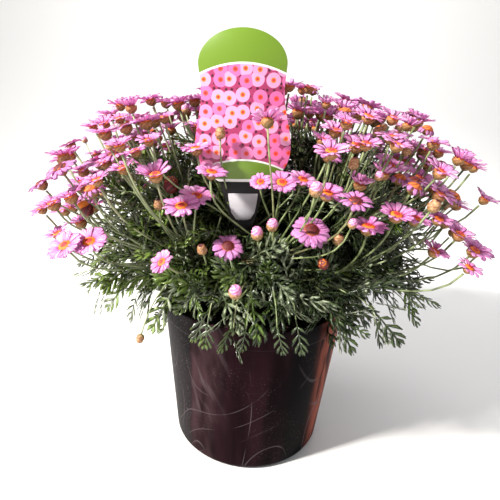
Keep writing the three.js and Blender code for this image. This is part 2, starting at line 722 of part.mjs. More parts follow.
stems.forEach((stem) => {
  growLeaves(stem, othersOf(stem));
  addNode(stem.name, stem.body, 'green');
});

export default group;
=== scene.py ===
"""A marguerite daisy in a dark nursery pot: pink blooms over lobed leaves, and a plant label on a stake.

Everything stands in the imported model's frame, in metres, +Z up. The places of the blooms and of the
stems that carry them are read from that model, and each plain solid is replaced by a finer piece.
"""

import math
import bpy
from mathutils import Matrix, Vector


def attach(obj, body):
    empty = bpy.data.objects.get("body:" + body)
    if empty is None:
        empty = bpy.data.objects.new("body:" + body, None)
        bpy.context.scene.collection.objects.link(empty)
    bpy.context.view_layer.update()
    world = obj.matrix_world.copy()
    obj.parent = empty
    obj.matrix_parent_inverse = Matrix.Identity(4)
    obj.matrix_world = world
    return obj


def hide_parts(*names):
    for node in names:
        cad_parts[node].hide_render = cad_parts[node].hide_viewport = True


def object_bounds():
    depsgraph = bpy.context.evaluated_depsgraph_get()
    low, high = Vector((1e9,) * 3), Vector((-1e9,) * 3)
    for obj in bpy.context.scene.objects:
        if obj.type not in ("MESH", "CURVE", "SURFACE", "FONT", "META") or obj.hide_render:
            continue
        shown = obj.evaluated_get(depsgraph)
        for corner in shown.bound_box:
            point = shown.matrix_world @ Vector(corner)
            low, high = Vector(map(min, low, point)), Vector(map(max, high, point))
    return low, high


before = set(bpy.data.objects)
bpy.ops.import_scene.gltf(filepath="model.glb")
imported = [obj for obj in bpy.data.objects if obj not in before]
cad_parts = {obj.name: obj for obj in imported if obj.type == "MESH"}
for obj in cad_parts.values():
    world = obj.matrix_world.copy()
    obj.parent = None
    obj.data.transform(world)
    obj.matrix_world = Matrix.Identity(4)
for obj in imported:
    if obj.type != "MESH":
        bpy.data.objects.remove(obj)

from types import SimpleNamespace

import bmesh
import bpy
import numpy as np
from mathutils import Matrix

cad_low, cad_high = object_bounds()

MM = 0.001
UP = np.array([0.0, 0.0, 1.0])
GOLDEN_ANGLE = math.pi * (3 - math.sqrt(5))


def in_mm(**sizes):
    """Named sizes written in millimetres and held in metres."""
    return SimpleNamespace(**{name: np.array(value) * MM for name, value in sizes.items()})


# Sizes that the solids were made from
POT = in_mm(
    height=180, base_radius=85.5, foot_round=7, body_radius=98.6, rim_radius=103.5,
    band_height=22, wall=2.4, floor=3, drain_radius=7, drain_circle=60,
)
DRAINS = 6
SOIL = in_mm(edge_height=157, crown_height=163, lump=1.6, grain=1.1)
CROWN = in_mm(
    centre=(0, 8, 175), trunk_radius=8, trunk_bottom=120, burl_radius=12, stub_reach=25, stub_radius=2.6,
)
LABEL = in_mm(
    x=-17, y=-50, bottom=305, height=128, thickness=1.2, foot_half=22, lobe_half=43, lobe_height=33,
    waist_half=36.4, waist_height=73, cap_half=38, cap_height=100,
)
LABEL_LEAN = math.radians(2.8)
STAKE = in_mm(
    head_half=20, neck_half=9, stem_half=3, thickness=1.6, head_top=24, head_foot=8, neck_depth=44,
    shoulder=50, point_rise=14, point=110,
)
BADGE = in_mm(top_half=14, mid_half=11, bottom_half=7, height=26, thickness=0.8, drop=11)
GAP = 0.3 * MM
HEAD = in_mm(disc_top=3, underside=1.5, cup_height=5)
CUP_DEPTH = HEAD.underside + GAP + HEAD.cup_height
DOME = in_mm(centre=(10, 25, 210), half=(238, 182, 178))
DOME_POWER = 2.4
STEMS = 15
STEM_REACH = 0.48
STEM_RISES = (0.1, 0.96)
FIRST_STEM_HEADING = 0.6

CAMERA = SimpleNamespace(
    place=np.array([0.0, -0.44404, 0.37871]), forward=np.array([-0.01623, 0.94244, -0.33398]),
    roll=math.radians(3.26), lens=30.96, sensor=36.0,
)


# Vectors and curves

def unit(vectors):
    """The same directions with length one."""
    return vectors / np.maximum(np.linalg.norm(vectors, axis=-1, keepdims=True), 1e-12)


def square_to(axis):
    """Two unit vectors u and v square to each axis, with u x v = axis."""
    steep = np.abs(axis[..., 2:3]) > 0.9
    u = unit(np.cross(np.where(steep, [1.0, 0.0, 0.0], UP), axis))
    return u, np.cross(axis, u)


def circle(sides):
    """Even angles once round."""
    return np.linspace(0, 2 * np.pi, sides, endpoint=False)


def around(u, v, angle):
    """Directions at angles about the axis that u and v are square to: u cos a + v sin a."""
    angle = np.asarray(angle)[..., None]
    return u * np.cos(angle) + v * np.sin(angle)


def leaning(lean, heading):
    """The direction at an angle of lean from +Z, towards a heading, both in degrees."""
    lean, heading = math.radians(lean), math.radians(heading)
    flat = math.sin(lean)
    return np.array([flat * math.cos(heading), flat * math.sin(heading), math.cos(lean)])


def bezier(controls, t):
    """The Bezier curve of its control points, (..., 3) each, at parameters t: the sum over i of
    choose(n, i) (1 - t)^(n - i) t^i P_i."""
    t = np.asarray(t)[:, None]
    last = len(controls) - 1
    return sum(
        math.comb(last, i) * (1 - t) ** (last - i) * t**i * np.asarray(point)[..., None, :]
        for i, point in enumerate(controls)
    )


def even(curve, shares):
    """The points of a polyline at shares of its length."""
    steps = np.linalg.norm(np.diff(curve, axis=0), axis=1)
    reached = np.concatenate([[0], np.cumsum(steps)])
    wanted = np.asarray(shares) * reached[-1]
    return np.stack([np.interp(wanted, reached, curve[:, i]) for i in range(3)], axis=-1)


def smooth_curve(start, start_heading, end, end_heading):
    """A cubic curve that leaves start on one heading and arrives at end on another."""
    pull = 0.38 * np.linalg.norm(end - start)
    controls = [start, start + pull * start_heading, end - pull * end_heading, end]
    return bezier(controls, np.linspace(0, 1, 40))


def spline(knots, steps):
    """A smooth curve through its knots: cubic Hermite pieces whose slope at a knot is half the way from
    the knot before it to the one after."""
    knots = np.array(knots)
    padded = np.concatenate([knots[:1], knots, knots[-1:]])
    slope = 0.5 * (padded[2:] - padded[:-2])
    t = np.linspace(0, 1, steps, endpoint=False)[:, None]
    spans = [
        (2 * t**3 - 3 * t**2 + 1) * knots[i] + (t**3 - 2 * t**2 + t) * slope[i]
        + (3 * t**2 - 2 * t**3) * knots[i + 1] + (t**3 - t**2) * slope[i + 1]
        for i in range(len(knots) - 1)
    ]
    return np.concatenate([*spans, knots[-1:]])


def stem_direction(k):
    """The direction in which leafy stem k leaves the crown: golden-angle headings, each steeper."""
    flattest, steepest = STEM_RISES
    rise = flattest + (steepest - flattest) * ((k + 0.5) / STEMS)
    flat = math.sqrt(1 - rise * rise)
    heading = k * GOLDEN_ANGLE + FIRST_STEM_HEADING
    return np.array([flat * math.cos(heading), flat * math.sin(heading), rise])


def dome_scale(offset):
    """How far out a point lies in the dome: 1 on its surface |x/a|^p + |y/b|^p + |z/c|^p = 1."""
    return (np.abs(offset / DOME.half) ** DOME_POWER).sum(-1) ** (1 / DOME_POWER)


def dome_point(direction, share):
    """The point on the dome's surface in a direction from its centre, or at a share of the way."""
    return DOME.centre + share * direction / dome_scale(direction)[..., None]


def stem_axis(k):
    """The main axis of leafy stem k, a quadratic curve from its stub on the crown."""
    direction = stem_direction(k)
    start = CROWN.centre + direction * (CROWN.stub_reach + GAP)
    end = CROWN.centre + (dome_point(direction, 1) - CROWN.centre) * STEM_REACH
    return bezier([start, start + direction * 0.5 * np.linalg.norm(end - start), end], np.linspace(0, 1, 24))


def stem_towards(place):
    """The number of the leafy stem that grows most nearly towards a place."""
    aims = unit(np.array([dome_point(stem_direction(k), 1) for k in range(STEMS)]) - CROWN.centre)
    return int(np.argmax(aims @ unit(place - CROWN.centre)))


def dome_spots(count, draw, low, high):
    """Places spread evenly over the dome's upper part, each at a random share of its depth, with the
    axis of a head there: up and outwards."""
    number = np.arange(count)
    rise = 1 - 1.15 * (number + 0.5) / count
    flat = np.sqrt(1 - rise**2)
    heading = number * GOLDEN_ANGLE
    direction = np.stack([flat * np.cos(heading), flat * np.sin(heading), rise], axis=-1)
    place = dome_point(direction, draw.uniform(low, high, (count, 1)))
    axis = unit(direction * 0.55 + UP + draw.uniform(-0.25, 0.25, (count, 3)))
    return place, axis


# Pieces

class Piece:
    """Grids of points gathered into one mesh. Each point also carries its place along and across its own
    blade, and a tone that one blade or stem has all over."""

    def __init__(self):
        self.points, self.faces, self.looks, self.marks = [], [], [], []
        self.count = 0

    def add(self, points, look=0, along=0.0, across=0.0, tone=0.0):
        """points is (grids, rows, columns, 3). Each grid's last column joins its first."""
        grids, rows, columns = points.shape[:3]
        number = np.arange(rows * columns).reshape(rows, columns)
        number = np.concatenate([number, number[:, :1]], axis=1)
        corners = [number[:-1, :-1], number[:-1, 1:], number[1:, 1:], number[1:, :-1]]
        faces = np.stack(corners, axis=-1).reshape(1, -1, 4)
        firsts = self.count + np.arange(grids)[:, None, None] * (rows * columns)
        spread = [np.broadcast_to(value, (grids, rows, columns)) for value in (along, across, tone)]
        self.points.append(points.reshape(-1, 3))
        self.faces.append((faces + firsts).reshape(-1, 4))
        self.looks.append(np.full(grids * faces.shape[1], look))
        self.marks.append(np.stack(spread, axis=-1).reshape(-1, 3))
        self.count += grids * rows * columns

    def build(self, name, finishes, slot, replaced=()):
        """The object: seams and poles welded, with its marks in an attribute, riding on the root body."""
        mesh = bpy.data.meshes.new(name)
        points, faces = np.concatenate(self.points), np.concatenate(self.faces)
        mesh.vertices.add(len(points))
        mesh.vertices.foreach_set("co", points.astype(np.float32).ravel())
        mesh.loops.add(faces.size)
        mesh.loops.foreach_set("vertex_index", faces.astype(np.int32).ravel())
        mesh.polygons.add(len(faces))
        mesh.polygons.foreach_set("loop_start", np.arange(0, faces.size, 4, dtype=np.int32))
        mesh.polygons.foreach_set("material_index", np.concatenate(self.looks).astype(np.int32))
        mesh.update(calc_edges=True)
        marks = mesh.attributes.new("marks", "FLOAT_VECTOR", "POINT")
        marks.data.foreach_set("vector", np.concatenate(self.marks).astype(np.float32).ravel())
        welded = bmesh.new()
        welded.from_mesh(mesh)
        bmesh.ops.remove_doubles(welded, verts=welded.verts, dist=0.0005 * MM)
        welded.to_mesh(mesh)
        welded.free()
        mesh.polygons.foreach_set("use_smooth", [True] * len(mesh.polygons))
        for finish in finishes:
            mesh.materials.append(finish)
        piece = bpy.data.objects.new(name, mesh)
        bpy.context.scene.collection.objects.link(piece)
        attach(piece, "root")
        if replaced:
            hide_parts(*replaced)
        return piece


def section(columns):
    """A blade's closed section: places across its top from edge to edge and back below, and which side
    each is on."""
    top = np.linspace(1, -1, columns)
    return np.concatenate([top, -top[1:-1]]), np.concatenate([np.ones(columns), -np.ones(columns - 2)])


def ribbon(centre, normal, half_width, thick, columns, fold=0.0, ribs=0.0):
    """Blades along curved centrelines, (n, rows, 3). A point is centre + side half_width s
    + up (fold |s| half_width + ribs half_width cos(2 pi s) +- thick (1 - s^2)), for s from -1 to 1."""
    across, face = section(columns)
    tangent = unit(np.gradient(centre, axis=-2))
    side = unit(np.cross(normal[..., None, :], tangent))
    up = np.cross(tangent, side)
    wide = np.asarray(half_width)[..., None] * across
    high = np.abs(wide) * fold + np.asarray(half_width)[..., None] * ribs * np.cos(2 * np.pi * across)
    high = high + face * np.asarray(thick)[..., None] * (1 - across**2)
    return centre[..., None, :] + side[..., None, :] * wide[..., None] + up[..., None, :] * high[..., None]


def tube(centre, radius, sides):
    """Round stems along curved centrelines, (n, rows, 3): centre + radius (u cos a + v sin a). A last and
    a first row of no width close them."""
    tangent = unit(np.gradient(centre, axis=-2))
    helper = square_to(unit(tangent.mean(axis=-2)))[0][..., None, :]
    u = unit(np.cross(helper, tangent))
    v = np.cross(tangent, u)
    ring = around(u[..., None, :], v[..., None, :], circle(sides))
    body = centre[..., None, :] + ring * np.asarray(radius)[..., None, None]
    first, last = (
        np.repeat(end[..., None, :], sides, axis=-2) for end in (centre[..., :1, :], centre[..., -1:, :])
    )
    return np.concatenate([first, body, last], axis=-3)


def turned(profile, sides):
    """A profile of radius and height turned about +Z: (r cos a, r sin a, z)."""
    angle = circle(sides)
    radius, height = np.asarray(profile, float).T
    x, y = radius[:, None] * np.cos(angle), radius[:, None] * np.sin(angle)
    return np.stack([x, y, np.repeat(height[:, None], sides, axis=1)], axis=-1)[None]


# Finishes

class Value:
    """A shader socket that can be written into sums. Each operator adds the Math node that does it."""

    def __init__(self, finish, socket):
        self.finish, self.socket = finish, socket

    def _math(self, operation, *values):
        return self.finish.node("ShaderNodeMath", {"operation": operation}, dict(enumerate(values)))

    def __add__(self, other):
        return self._math("ADD", self, other)

    def __sub__(self, other):
        return self._math("SUBTRACT", self, other)

    def __rsub__(self, other):
        return self._math("SUBTRACT", other, self)

    def __mul__(self, other):
        return self._math("MULTIPLY", self, other)

    __radd__, __rmul__ = __add__, __mul__

    def wave(self):
        """A cosine brought to 0 to 1."""
        return self._math("COSINE", self) * 0.5 + 0.5

    def size(self):
        """The value without its sign."""
        return self._math("ABSOLUTE", self)

    def ramp(self, low, high):
        """0 below low and 1 above high, smooth between; turned round where low is the larger."""
        settings = {"interpolation_type": "SMOOTHSTEP", "clamp": True}
        return self.finish.node("ShaderNodeMapRange", settings, {0: self, 1: low, 2: high, 3: 0.0, 4: 1.0})


class Finish:
    """A material under construction."""

    def __init__(self, name):
        self.material = bpy.data.materials.new(name)
        self.material.use_nodes = True
        self.tree = self.material.node_tree
        self.tree.nodes.clear()

    def node(self, kind, settings=None, inputs=None, output=0):
        """Adds a node: its settings first, then the values or links of its sockets. Gives back one of its
        outputs, which the material's own output node doesn't have."""
        made = self.tree.nodes.new(kind)
        for name, value in (settings or {}).items():
            setattr(made, name, value)
        for name, value in (inputs or {}).items():
            socket = made.inputs[name]
            if isinstance(value, Value):
                self.tree.links.new(value.socket, socket)
            elif isinstance(value, tuple) and len(value) == 3 and socket.type == "RGBA":
                socket.default_value = (*value, 1.0)
            else:
                socket.default_value = value
        return Value(self, made.outputs[output]) if made.outputs else None

    def split(self, vector):
        """The three parts of a vector."""
        return [self.node("ShaderNodeSeparateXYZ", None, {0: vector}, output=i) for i in range(3)]

    def marks(self):
        """The place along, the place across and the tone that a piece's points carry."""
        return self.split(self.node("ShaderNodeAttribute", {"attribute_name": "marks"}, output="Vector"))

    def place(self):
        """The place in the row frame, in metres."""
        return self.node("ShaderNodeTexCoord", output="Object")

    def axes(self):
        """The place's three coordinates."""
        return self.split(self.place())

    def noise(self, scale, detail=2.0, stretch=(1.0, 1.0, 1.0), vector=None):
        """Noise over the place, or over another vector, stretched along its axes."""
        vector = vector or self.place()
        scaled = self.node("ShaderNodeMapping", None, {"Vector": vector, "Scale": stretch})
        return self.node("ShaderNodeTexNoise", None, {"Vector": scaled, "Scale": scale, "Detail": detail})

    def mix(self, first, second, share):
        """first where share is 0 and second where it is 1."""
        settings = {"data_type": "RGBA", "clamp_factor": True}
        return self.node("ShaderNodeMix", settings, {0: share, 6: first, 7: second}, output=2)

    def bump(self, height, distance):
        """A normal raised by height times distance, in metres."""
        return self.node("ShaderNodeBump", None, {"Height": height, "Distance": distance, "Strength": 1.0})

    def done(self, colour, roughness, through=0.0, glow=None, **inputs):
        """Ends in a Principled surface, with a share of light let through a thin blade."""
        sockets = {"Base Color": colour, "Roughness": roughness}
        sockets.update({name.replace("_", " "): value for name, value in inputs.items()})
        shader = self.node("ShaderNodeBsdfPrincipled", None, sockets)
        if through:
            behind = self.node("ShaderNodeBsdfTranslucent", None, {"Color": glow})
            shader = self.node("ShaderNodeMixShader", None, {0: through, 1: shader, 2: behind})
        self.node("ShaderNodeOutputMaterial", None, {"Surface": shader})
        return self.material


def petal_finish():
    """Pink with pale streaks along it, magenta at the foot, and lilac on the older heads."""
    finish = Finish("ray_petals")
    along, across, tone = finish.marks()
    stripe = (across * 8.0 + tone * 31.0).wave() * finish.noise(900.0, 1.0).ramp(0.35, 0.65)
    pink = finish.mix((0.88, 0.27, 0.66), (0.98, 0.78, 0.94), stripe * along.ramp(0.1, 0.6))
    pink = finish.mix(pink, (0.66, 0.07, 0.28), along.ramp(0.34, 0.02))
    pink = finish.mix(pink, (0.60, 0.24, 0.52), tone.ramp(0.80, 0.95) * 0.7)
    pink = finish.mix(pink, (0.97, 0.74, 0.88), tone.ramp(0.20, 0.02) * 0.4)
    ridges = finish.bump((across * 12.0).wave(), 0.15 * MM)
    glow = finish.mix(pink, (0.80, 0.34, 0.80), 0.6)
    return finish.done(pink, 0.5, through=0.32, glow=glow, Normal=ridges)


def disc_finish():
    """A red middle in an orange ring; old discs are maroon with a few orange florets left."""
    finish = Finish("disc_florets")
    along, across, tone = finish.marks()
    ring = finish.mix((0.60, 0.030, 0.035), (0.86, 0.17, 0.006), along.ramp(0.38, 0.62))
    ring = finish.mix(ring, (0.92, 0.30, 0.012), across * along.ramp(0.4, 0.9) * 0.8)
    rust = finish.mix((0.28, 0.05, 0.015), (0.80, 0.20, 0.02), across)
    old = finish.mix((0.05, 0.004, 0.009), (0.22, 0.016, 0.014), across)
    old = finish.mix(old, (0.75, 0.20, 0.02), along.ramp(0.80, 0.92) * across * 0.8)
    colour = finish.mix(finish.mix(ring, rust, tone.ramp(0.1, 0.2)), old, tone.ramp(0.45, 0.55))
    grains = finish.bump(finish.noise(2600.0, 1.0), 0.25 * MM)
    return finish.done(colour, 0.6, Normal=grains)


def cup_finish():
    """Bracts: green at the foot, brown-orange papery rims towards the petals."""
    finish = Finish("cup_bracts")
    along, across, _ = finish.marks()
    rim = finish.mix((0.15, 0.14, 0.04), (0.48, 0.21, 0.07), along.ramp(0.2, 0.7))
    colour = finish.mix(rim, (0.15, 0.055, 0.022), across * 0.75)
    colour = finish.mix(colour, (0.62, 0.38, 0.16), finish.noise(800.0, 3.0).ramp(0.54, 0.68) * 0.6)
    veins = finish.bump(finish.noise(1500.0, 2.0, (1.0, 1.0, 0.2)), 0.2 * MM)
    return finish.done(colour, 0.6, Normal=veins)


def bud_finish():
    """Buds: green bracts with brown and peach rims. By tone, closed ones have a dark red middle, withered
    heads are maroon with some orange florets, fading ones are orange on top, and opening ones have pink
    petal tips."""
    finish = Finish("buds")
    along, across, tone = finish.marks()
    flecks = finish.noise(700.0, 3.0)
    skin = finish.mix((0.20, 0.22, 0.06), (0.50, 0.24, 0.10), along.ramp(0.10, 0.42))
    skin = finish.mix(skin, (0.16, 0.05, 0.025), across * 0.8)
    skin = finish.mix(skin, (0.62, 0.42, 0.22), flecks.ramp(0.52, 0.66) * 0.8)
    pink = finish.mix((0.60, 0.08, 0.30), (0.92, 0.42, 0.68), across)
    pink = finish.mix(pink, (0.95, 0.62, 0.80), flecks.ramp(0.50, 0.66) * 0.6)
    opening = finish.mix(skin, pink, along.ramp(0.40, 0.50))
    closed = finish.mix(skin, (0.07, 0.004, 0.010), along.ramp(0.72, 0.78))
    withered = finish.mix((0.045, 0.004, 0.010), (0.22, 0.018, 0.020), across)
    florets = flecks.ramp(0.54, 0.62) + tone.ramp(0.52, 0.58)
    withered = finish.mix(withered, (0.80, 0.22, 0.015), along.ramp(0.44, 0.56) * florets)
    colour = finish.mix(finish.mix(closed, withered, tone.ramp(0.2, 0.3)), opening, tone.ramp(0.7, 0.8))
    veins = finish.bump(finish.noise(1500.0, 2.0, (1.0, 1.0, 0.2)), 0.3 * MM)
    return finish.done(colour, 0.5, Normal=veins)


def sunny_side(finish):
    """A mask for painted light: 0 on the plant's shaded right side and 1 on its left side, where the light
    falls.
    """
    return finish.axes()[0].ramp(0.02, -0.09)


def leaf_finish():
    """Dark green leaves with paler ribs and yellow-green where they are young, painted highlights in pale
    patches on some leaves, and painted light in lighter patches on the plant's left side, where the light
    falls."""
    finish = Finish("leaves")
    _, across, tone = finish.marks()
    mottle = finish.noise(160.0, 3.0)
    green = finish.mix((0.010, 0.019, 0.007), (0.060, 0.088, 0.030), mottle.ramp(0.3, 0.7))
    # Painted highlights: pale grey-green patches on some leaves, picked by their tone.
    pale = (tone * 71.0).wave()
    green = finish.mix(green, (0.55, 0.62, 0.42), pale.ramp(0.78, 0.97) * mottle.ramp(0.34, 0.60) * 0.8)
    green = finish.mix(green, (0.16, 0.27, 0.03), tone.ramp(0.60, 0.90) * pale.ramp(0.7, 0.5))
    green = finish.mix(green, (0.20, 0.27, 0.13), across.size().ramp(0.25, 0.0) * 0.3)
    # Painted light: lighter green and grey-green patches on the plant's left side, where the light falls.
    lit_side_mask, patches = sunny_side(finish), finish.noise(60.0, 2.0)
    green = finish.mix(green, (0.20, 0.30, 0.05), lit_side_mask * patches.ramp(0.42, 0.58) * 0.75)
    green = finish.mix(green, (0.30, 0.34, 0.24), lit_side_mask * patches.ramp(0.50, 0.36) * 0.55)
    green = finish.mix(green, (0.16, 0.10, 0.03), tone.ramp(0.05, 0.01) * 0.7)
    veins = finish.bump(finish.noise(700.0, 2.0), 0.15 * MM)
    glow = finish.mix((0.10, 0.22, 0.01), (0.32, 0.50, 0.02), tone)
    return finish.done(green, 0.26, through=0.13, glow=glow, Normal=veins)


def stalk_finish():
    """Stalks: pale yellow-green, browner with age, finely ribbed, and painted paler on the plant's left
    side, where the light falls.
    """
    finish = Finish("stalks")
    _, across, tone = finish.marks()
    green = finish.mix((0.09, 0.12, 0.04), (0.27, 0.33, 0.14), finish.noise(120.0, 2.0).ramp(0.35, 0.65))
    colour = finish.mix(green, (0.20, 0.13, 0.07), tone.ramp(0.6, 1.0) * 0.8)
    # Painted light: paler on the plant's left side.
    colour = finish.mix(colour, (0.42, 0.47, 0.27), sunny_side(finish) * 0.5)
    ribs = finish.bump((across * 5.0).wave(), 0.2 * MM)
    return finish.done(colour, 0.5, Normal=ribs)


def bark_finish():
    """Woody crown: cracked brown-grey bark."""
    finish = Finish("bark")
    cracks = finish.noise(260.0, 5.0, (1.0, 1.0, 0.3))
    colour = finish.mix((0.055, 0.035, 0.02), (0.24, 0.17, 0.10), cracks.ramp(0.35, 0.65))
    return finish.done(colour, 0.85, Normal=finish.bump(cracks, 1.2 * MM))


def soil_finish():
    """Moist potting mix: near-black peat with paler fibres and crumbs."""
    finish = Finish("potting_mix")
    crumbs = finish.noise(420.0, 6.0)
    colour = finish.mix((0.012, 0.008, 0.006), (0.075, 0.045, 0.026), crumbs.ramp(0.4, 0.7))
    return finish.done(colour, 0.95, Normal=finish.bump(crumbs, 1.5 * MM))


def chip_finish():
    """Bark chips in the mix, some redder and some greyer."""
    finish = Finish("bark_chips")
    _, _, tone = finish.marks()
    grain = finish.noise(500.0, 4.0, (1.0, 0.2, 1.0))
    colour = finish.mix((0.05, 0.028, 0.016), (0.20, 0.11, 0.06), grain.ramp(0.35, 0.65))
    colour = finish.mix(colour, (0.16, 0.14, 0.12), tone * 0.5)
    return finish.done(colour, 0.9, Normal=finish.bump(grain, 0.6 * MM))


def pot_zones(finish, x, y, z, left):
    """The wall's colours round the pot: long faint streaks, a painted highlight on the left front in
    fold-shaped patches with painted highlights along slanting crease lines, a painted grey reflection beyond
    it, painted shadow in near black on the right front, and painted reddish reflections in streaks at its
    right edge."""
    streaks = finish.noise(42.0, 3.0, (1.0, 1.0, 0.06)).ramp(0.38, 0.66)
    colour = finish.mix((0.0045, 0.0013, 0.0022), (0.016, 0.005, 0.0075), streaks)
    # Painted highlight: a lighter stretch on the left front, in fold-shaped patches.
    lit = left.ramp(-0.056, -0.050) * left.ramp(-0.008, -0.036)
    fold_highlights = finish.noise(30.0, 3.0, (1.0, 1.0, 0.35)).ramp(0.36, 0.62)
    colour = finish.mix(colour, (0.048, 0.024, 0.028), lit * fold_highlights * 0.8)
    # Painted highlights along slanting crease lines in the lighter stretch.
    slanted = finish.node("ShaderNodeCombineXYZ", None, {0: x + z * 0.54, 1: y, 2: z * 0.12})
    crease_highlights = finish.noise(95.0, 2.0, vector=slanted).ramp(0.50, 0.64) * lit * z.ramp(0.045, 0.080)
    colour = finish.mix(colour, (0.080, 0.056, 0.062), crease_highlights * 0.6)
    # Painted reflection: a grey strip beyond the lighter stretch on the left.
    grey = left.ramp(-0.052, -0.056) * (0.55 + 0.45 * finish.noise(260.0, 4.0).ramp(0.30, 0.72))
    colour = finish.mix(colour, (0.012, 0.012, 0.013), grey * 0.9)
    # Painted reflection: reddish streaks at the pot's right edge.
    red_reflection = x.ramp(0.062, 0.080) * finish.noise(85.0, 2.0, (1.0, 1.0, 0.12)).ramp(0.38, 0.54)
    colour = finish.mix(colour, (0.30, 0.078, 0.048), red_reflection * y.ramp(0.004, -0.040) * 0.85)
    # Painted shadow: near black in patches on the right front.
    dark = x.ramp(0.034, 0.046) * x.ramp(0.074, 0.060)
    dark = dark * finish.noise(12.0, 2.0, (1.0, 1.0, 0.3)).ramp(0.25, 0.45)
    return finish.mix(colour, (0.001, 0.0007, 0.0012), dark)


def pot_finish():
    """Dark maroon plastic. Thin curved scratches cross its lower half, and dust and dried splashes lie
    over them, most of all on the left."""
    finish = Finish("pot_plastic")
    x, y, z = finish.axes()
    left = x + finish.noise(18.0, 3.0) * 0.012
    colour = pot_zones(finish, x, y, z, left)
    arcs = (finish.noise(7.5, 0.0) * 62.0).wave().ramp(0.993, 0.9995)
    arcs = arcs + (finish.noise(11.0, 0.0, (1.0, 1.0, 0.5)) * 48.0).wave().ramp(0.994, 0.9995)
    faint = finish.noise(22.0, 2.0).ramp(0.42, 0.62) * z.ramp(0.150, 0.080)
    colour = finish.mix(colour, (0.11, 0.085, 0.09), arcs * faint * 0.6)
    dusty = finish.noise(16.0, 3.0).ramp(0.45, 0.65) * 0.5 + left.ramp(-0.050, -0.060)
    dust = finish.noise(900.0, 2.0).ramp(0.64, 0.74) * dusty
    colour = finish.mix(colour, (0.40, 0.34, 0.31), dust * 0.45)
    splash = finish.noise(14.0, 5.0).ramp(0.52, 0.72) * z.ramp(0.10, 0.0)
    colour = finish.mix(colour, (0.06, 0.035, 0.032), splash * 0.15)
    skin = finish.bump(finish.noise(1400.0, 2.0), 0.06 * MM)
    roughness = 0.42 + splash * 0.25 + dust * 0.2
    return finish.done(colour, roughness, Normal=skin, Specular_IOR_Level=0.02)


PRINT = in_mm(arc_rise=8, field_top=93, field_foot=12, line_out=0.9, line_in=0.7, foot_out=2.8, foot_in=2.5)
ARC_NARROWNESS = 28.0


def card_finish():
    """Label face: a lime cap and a lime band, and between two white arcs a deep pink field of pale dots
    with orange or red middles, and small plum dots between them. An arc's height is rise (1 - (n x)^2)
    above its foot."""
    finish = Finish("label_print")
    across, height, _ = finish.marks()
    sweep = across * ARC_NARROWNESS
    arc = (1.0 - sweep * sweep) * PRINT.arc_rise
    top_arc, low_arc = height - (arc + PRINT.field_top), height - (arc + PRINT.field_foot)
    spots = finish.node("ShaderNodeCombineXYZ", None, {0: across, 1: height})
    plane = {"voronoi_dimensions": "2D"}
    spread = {"Vector": spots, "Scale": 84.0, "Randomness": 0.5}
    ring = finish.node("ShaderNodeTexVoronoi", plane, spread)
    draws = finish.node("ShaderNodeTexVoronoi", plane, spread, output="Color")
    kind = finish.node("ShaderNodeSeparateColor", None, {0: draws})
    specks = finish.node("ShaderNodeTexVoronoi", plane, {**spread, "Scale": 190.0})
    field = finish.mix((0.07, 0.006, 0.02), (0.36, 0.035, 0.12), specks.ramp(0.16, 0.30))
    middle = finish.mix((0.88, 0.22, 0.03), (0.80, 0.09, 0.04), kind.ramp(0.50, 0.52))
    middle = finish.mix((0.70, 0.02, 0.03), middle, ring.ramp(0.08, 0.11))
    dot = finish.mix((0.82, 0.33, 0.55), (0.72, 0.15, 0.38), kind.ramp(0.45, 0.60))
    dot = finish.mix(middle, dot, ring.ramp(0.17, 0.20))
    field = finish.mix(dot, field, ring.ramp(0.50, 0.54))
    inner = top_arc.ramp(0.0, -0.2 * MM) * low_arc.ramp(0.0, 0.2 * MM)
    colour = finish.mix((0.144, 0.249, 0.018), field, inner)
    lines = [edge.size().ramp(PRINT.line_out, PRINT.line_in) for edge in (top_arc, low_arc)]
    white = lines[0] + lines[1] + height.ramp(PRINT.foot_out, PRINT.foot_in)
    return finish.done(finish.mix(colour, (0.92, 0.92, 0.90), white), 0.36)


def stake_finish():
    """Black moulded plastic."""
    finish = Finish("stake_plastic")
    grain = finish.bump(finish.noise(900.0, 2.0), 0.05 * MM)
    return finish.done((0.008, 0.006, 0.007), 0.5, Normal=grain, Specular_IOR_Level=0.3)


def badge_finish():
    """A plain pale grey pad."""
    finish = Finish("badge_pad")
    shade = finish.noise(60.0, 2.0).ramp(0.3, 0.7)
    return finish.done(finish.mix((0.42, 0.40, 0.43), (0.52, 0.50, 0.52), shade), 0.45)


# The plant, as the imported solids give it

CORNER_GRID = 0.01 * MM
BUSY_CORNER = 8
STALK_RINGS = SimpleNamespace(shares=[0.4, 0.75], radii=[1.6 * MM, 1.3 * MM])


def corners_of(node):
    """A solid's corners, each once, and its triangles as numbers into them."""
    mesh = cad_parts[node].data
    mesh.calc_loop_triangles()
    places = np.empty(3 * len(mesh.vertices), np.float32)
    mesh.vertices.foreach_get("co", places)
    triangles = np.empty(3 * len(mesh.loop_triangles), np.int32)
    mesh.loop_triangles.foreach_get("vertices", triangles)
    grid = np.round(places.reshape(-1, 3) / CORNER_GRID).astype(int)
    corners, numbers = np.unique(grid, axis=0, return_inverse=True)
    return corners * CORNER_GRID, numbers.reshape(-1)[triangles].reshape(-1, 3)


